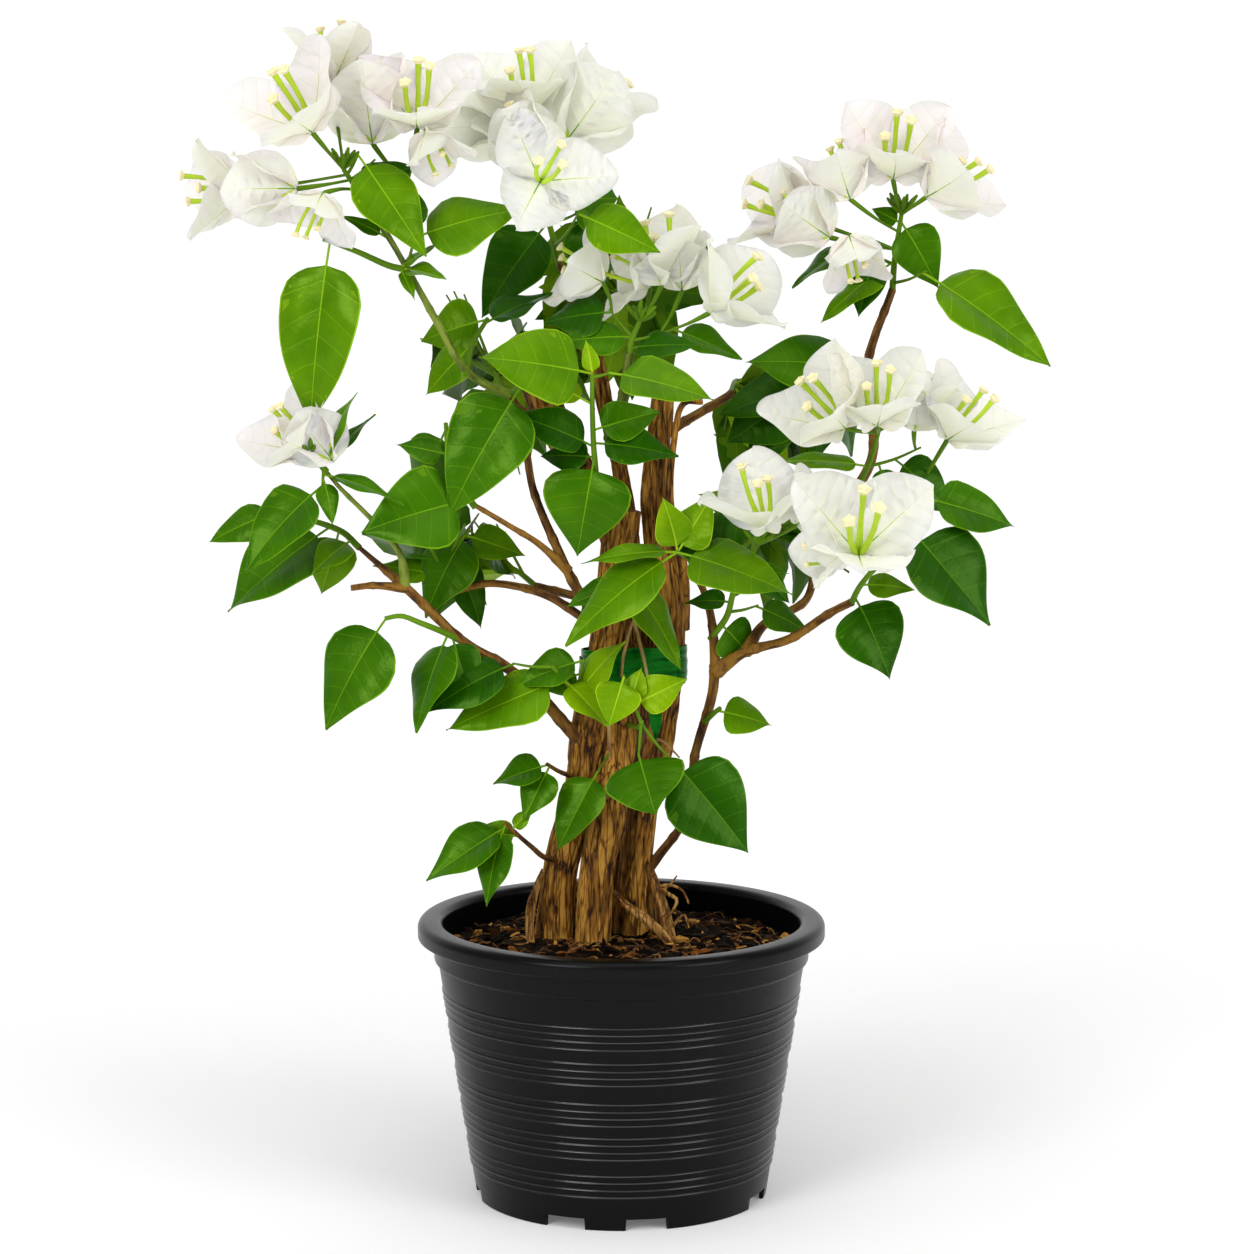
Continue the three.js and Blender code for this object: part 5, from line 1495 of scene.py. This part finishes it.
def tube_lines(joint, bearing, lean, spin, size, spread):
    """Middle line, radii, aim and size of a flower's three tubes, each beside a bract's midrib."""
    axis = heading(bearing, lean)
    made = []
    for k in range(3):
        out = flower_axes(axis, spin + 60 + 120 * k)
        tilt = np.radians(TUBE_SPREAD[k])
        aim = axis * np.cos(tilt) + out * np.sin(tilt)
        line = np.array(joint) + out + TUBE_RUN[:, None] * (size * TUBE_LENGTHS[k]) * aim
        line = line + out * (1.6 * np.sin(np.pi * TUBE_RUN))[:, None]
        made.append((line * MM, TUBE_RADIUS * size / USUAL_BRACT, aim, size / USUAL_BRACT))
    return made


def rings_round(aims, sides):
    """A circle of corners square to each aim, with room for the rows of a tube."""
    u = square_to(aims, np.array([0.3, -1.0, 0.1]))
    return circle_of(u, np.cross(aims, u), sides)[:, None]


def stars(tips, aims, size):
    """Mouths of the tubes: rings of corners, long and short in turn, that rise from the tube's edge
    to the lobes and dip to the throat."""
    corners = 2 * STAR_POINTS
    lobes = np.where(np.arange(corners) % 2, 0.72, 1.0)
    even = np.ones(corners)
    shape = np.array([0.5, 0.98, 0.8, 0.35, 0.05])[:, None] * [even, lobes, lobes, even, even]
    rise = np.array([-0.3, 0.25, 0.5, 0.35, 0.1])
    reach = (STAR_RADIUS * size)[:, None, None]
    points = rings_round(aims, corners) * (reach * shape)[..., None] + tips[:, None, None]
    return points + aims[:, None, None] * (reach * rise[:, None])[..., None]


def flower_stalk(foot, joint, bearing, lean):
    """Route and radii of the stalk that bears a flower, sagging a little at its middle."""
    axis = heading(bearing, lean)
    sag = (foot + np.array(joint)) / 2 - axis * 1.5
    return np.array([foot, sag, joint, np.array(joint) + 1.5 * axis]), STALK_THICK


def buds(tip):
    """Routes and radii of the small closed buds round a spray's tip."""
    made = []
    for k in range(BUDS):
        turn, rise = BUD_TURN * k, 0.5 + 1.2 * rng.random()
        aim = unit(np.array([np.cos(turn), np.sin(turn), rise]))
        reach = rng.uniform(*BUD_REACH)
        made.append((np.array([tip - aim, tip + aim * reach * 0.6, tip + aim * reach]), BUD_THICK))
    return made


# Growing: the leaves, twigs and flowers with a place come first. What fills the crown behind them is
# kept only where they hide it from the front, so the sky stays open between the limbs.
CELLS = 314  # across and down the picture
HIDDEN_SHARE = 0.86  # of a leaf's points that have to be hidden
HIDDEN_TWIG = 0.85  # the same for a twig
FULLER_TWIGLETS = 5  # times as many in the second round
FULLER_LEAVES = 10
TWIG_THICK = [0.9, 0.75, 0.5]
STEM_THICK = [1.7, 1.45, 1.1]
STEM_STARTS_IN = 2  # inside the limb that bears it
STEM_COVER = 0.9  # of its radius
COVER_STEPS, COVER_SIDES = 150, 24
TWIG_SIDES, BACK_TWIG_SIDES = 8, 5


def picture_cells(points):
    """Column and row of points in the camera's picture, divided into CELLS each way."""
    offset = points.reshape(-1, 3) - CAMERA_PLACE
    ahead = offset[:, 1] * np.cos(CAMERA_DIP) - offset[:, 2] * np.sin(CAMERA_DIP)
    above = offset[:, 1] * np.sin(CAMERA_DIP) + offset[:, 2] * np.cos(CAMERA_DIP)
    scale = CAMERA_LENS / CAMERA_SENSOR / ahead
    place = np.stack([0.5 + offset[:, 0] * scale, 0.5 - above * scale], axis=-1)
    return np.clip((place * CELLS).astype(int), 1, CELLS - 2)


def cover(front, points):
    """Notes in the cells round the points how far forward they are covered."""
    cells = picture_cells(points)
    for dx in (-1, 0, 1):
        for dy in (-1, 0, 1):
            np.minimum.at(front, (cells[:, 0] + dx, cells[:, 1] + dy), points.reshape(-1, 3)[:, 1])


def hidden_share(front, points):
    """The share of points that stand behind what covers their cells."""
    cells = picture_cells(points)
    return (points.reshape(-1, 3)[:, 1] > front[cells[:, 0], cells[:, 1]]).mean()


def twig_batch(route, thick, sides=TWIG_SIDES):
    """A plain tapering tube along a twig's route in millimetres."""
    length = np.linalg.norm(np.diff(np.array(route, float), axis=0), axis=1).sum()
    line, _ = even_line(np.array(route) * MM, max(4, int(length / 3)))
    return tube(line, spread_radius(thick, len(line)) * MM, sides)


def grow_behind(front, spray, twigs):
    """Fills a spray's space in two rounds, the second one fuller. Gives the leaves and twigs, without
    the twigs that would show from the front and what they bear."""
    more, seed = spray["more"], spray["seed"]
    fuller = (FULLER_TWIGLETS * spray["twiglets"], FULLER_LEAVES * more, 31 * seed + 7)
    leaves, batches = [], []
    for twiglet_count, leaf_count, number in [(spray["twiglets"], more, seed), fuller]:
        first = len(twigs)
        grown = grow(spray["space"], twigs, twiglet_count, leaf_count, seeded(number))
        bearers = {0}
        for bearer in range(first, len(twigs)):
            batch = twig_batch(twigs[bearer], TWIG_THICK, BACK_TWIG_SIDES)
            if hidden_share(front, batch) > HIDDEN_TWIG:
                bearers.add(bearer)
                batches.append(batch)
        leaves += [leaf for bearer, leaf in grown if bearer in bearers]
    return leaves, batches


shown_leaves, shown_tones, flowers, blushed = [], [], [], []
twig_routes, woody_routes, grown_sprays = [], [], []
for spray_name, spray in SPRAYS.items():
    stem_route = np.array(spray["stem"], float)
    start = stem_route[0] - STEM_STARTS_IN * unit(stem_route[1] - stem_route[0])
    stem_list = woody_routes if "woody" in spray else twig_routes
    stem_list.append((np.vstack([start, stem_route]), STEM_THICK))
    twigs = [stem_route]
    for place, *form in spray.get("twigs", []):
        twigs.append(side_twig(point_at(twigs, place), *form))
        twig_routes.append((twigs[-1], TWIG_THICK))
    for place, bearing, lean, length, width, turn, *tone in spray.get("leaves", []):
        along = heading(bearing, lean)
        face = leaf_face(along, bearing, turn)
        shown_leaves.append((point_at(twigs, place), along, face, length, width))
        shown_tones.append(tone[0] if tone else USUAL_TONE)
    for place, joint, *form in spray.get("flowers", []):
        twig_routes.append(flower_stalk(point_at(twigs, place), joint, *form[:2]))
        flowers.append((joint, *form))
        blushed += [spray_name in BLUSHED] * 3
    if "flowers" in spray:
        twig_routes += buds(stem_route[-1])
    if "space" in spray:
        grown_sprays.append((spray, twigs))

shown_points = placed_blades(LEAF_FORM, shown_leaves)
bract_list = [bract for flower in flowers for bract in bract_places(*flower)]
bract_points = placed_blades(BRACT_FORM, bract_list)
front = np.full((CELLS, CELLS), np.inf)
cover(front, shown_points)
cover(front, bract_points)
for stem_route, stem_thick in STEMS.values():
    line, _ = even_line(np.array(stem_route) * MM, COVER_STEPS)
    radius = spread_radius(stem_thick, len(line)) * STEM_COVER * MM
    cover(front, tube(line, radius, COVER_SIDES))

back_leaves, back_twigs = [], []
for spray, twigs in grown_sprays:
    leaves, batches = grow_behind(front, spray, twigs)
    back_leaves += leaves
    back_twigs += batches
back_points = placed_blades(BACK_FORM, back_leaves)
kept = np.array([hidden_share(front, points) > HIDDEN_SHARE for points in back_points])
back_points = back_points[kept]
back_tones = rng.choice(len(LEAF_TONES), len(back_points), p=BACK_TONE_SHARES)


# Making the foliage: leaves joined by tone, the bracts, the tubes with their mouths, and the twigs.
PAPER = (0.79, 0.765, 0.65)
PAPER_BLUSH = (0.85, 0.74, 0.72)
PAPER_UNDER = (0.78, 0.78, 0.63)
# The bracts glow faintly: a painted light that lifts their shaded sides.
GLOWING_PAPER_LOOK = {"roughness": 0.6, "drift_to": 0.97, "subsurface": 0.8, "Emission_Strength": 0.055}
BLUSH, MIDRIB = 4, 5
masses = list(SPRAYS)


def make_leaves():
    """The leaves of each tone as one piece. All the pieces together stand in for the masses."""
    kinds = [(LEAF_FORM, shown_points, np.array(shown_tones)), (BACK_FORM, back_points, back_tones)]
    for number, tone in enumerate(LEAF_TONES):
        batches = [(points[tones == number], blade_layout(form)[3]) for form, points, tones in kinds]
        piece = build_mesh("leaves_" + tone, batches, leaf_materials(tone), 70)
        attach(piece, "root")
        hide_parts(*masses)


def bract_strips():
    """Material numbers of the bracts: without the pale margin, with a midrib that is green over its
    first third and pale over its last, and with a blush on some."""
    strip = blade_layout(BRACT_FORM)[3].copy()
    strip[:, [0, len(ACROSS)]] = UPPER
    midrib = [len(ACROSS) // 2, np.flatnonzero(strip[0] == VEIN)[-1]]
    third = len(strip) // 3
    strip[:third, midrib] = MIDRIB
    strip[2 * third :, midrib] = SIDE_VEIN
    strips = np.repeat(strip[None], len(bract_points), axis=0)
    strips[(strips == UPPER) & np.array(blushed)[:, None, None]] = BLUSH
    return strips


def make_bracts():
    """All the bracts as one piece, paper white with greenish veins, glowing faintly as painted light.
    """
    materials = [
        blade_surface("bract_white", PAPER, **GLOWING_PAPER_LOOK),
        blade_surface("bract_vein", (0.5, 0.6, 0.17), 0.6, 1.0, 0.2),
        blade_surface("bract_under", PAPER_UNDER, **GLOWING_PAPER_LOOK),
        blade_surface("bract_side_vein", (0.7, 0.72, 0.5), 0.6, 1.0, 0.2),
        blade_surface("bract_blush", PAPER_BLUSH, **GLOWING_PAPER_LOOK),
        blade_surface("bract_midrib", (0.16, 0.36, 0.01), 0.5, 1.0),
    ]
    petals = build_mesh("bracts", [(bract_points, bract_strips())], materials, 70)
    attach(petals, "root")
    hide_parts(*masses)


def make_flower_tubes():
    """The greenish tubes of all the flowers, with their cream mouths, as one piece."""
    made = [form for flower in flowers for form in tube_lines(*flower)]
    lines, radii, aims, sizes = (np.array(part) for part in zip(*made))
    points = lines[:, :, None] + rings_round(aims, TUBE_SIDES) * radii[:, :, None, None]
    materials = [
        blade_surface("flower_tube", (0.42, 0.6, 0.04), 0.45, 1.2),
        blade_surface("flower_mouth", (0.9, 0.82, 0.5), 0.5, 0.95),
    ]
    batches = [(points, 0), (stars(lines[:, -1], aims, sizes), 1)]
    flower_tubes = build_mesh("flower_tubes", batches, materials, 50)
    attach(flower_tubes, "root")


def make_green_twigs():
    """The sprays' stems, twigs, flower stalks and buds as one piece."""
    green = blade_surface("green_twig", (0.08, 0.17, 0.006), 0.45, 1.5)
    tubes = [twig_batch(route, thick) for route, thick in twig_routes] + back_twigs
    twig_piece = build_mesh("green_twigs", [(points, 0) for points in tubes], [green])
    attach(twig_piece, "root")


make_leaves()
make_bracts()
make_flower_tubes()
make_green_twigs()
make_tubes("woody_twigs", woody_routes, 10, young_bark, 60)
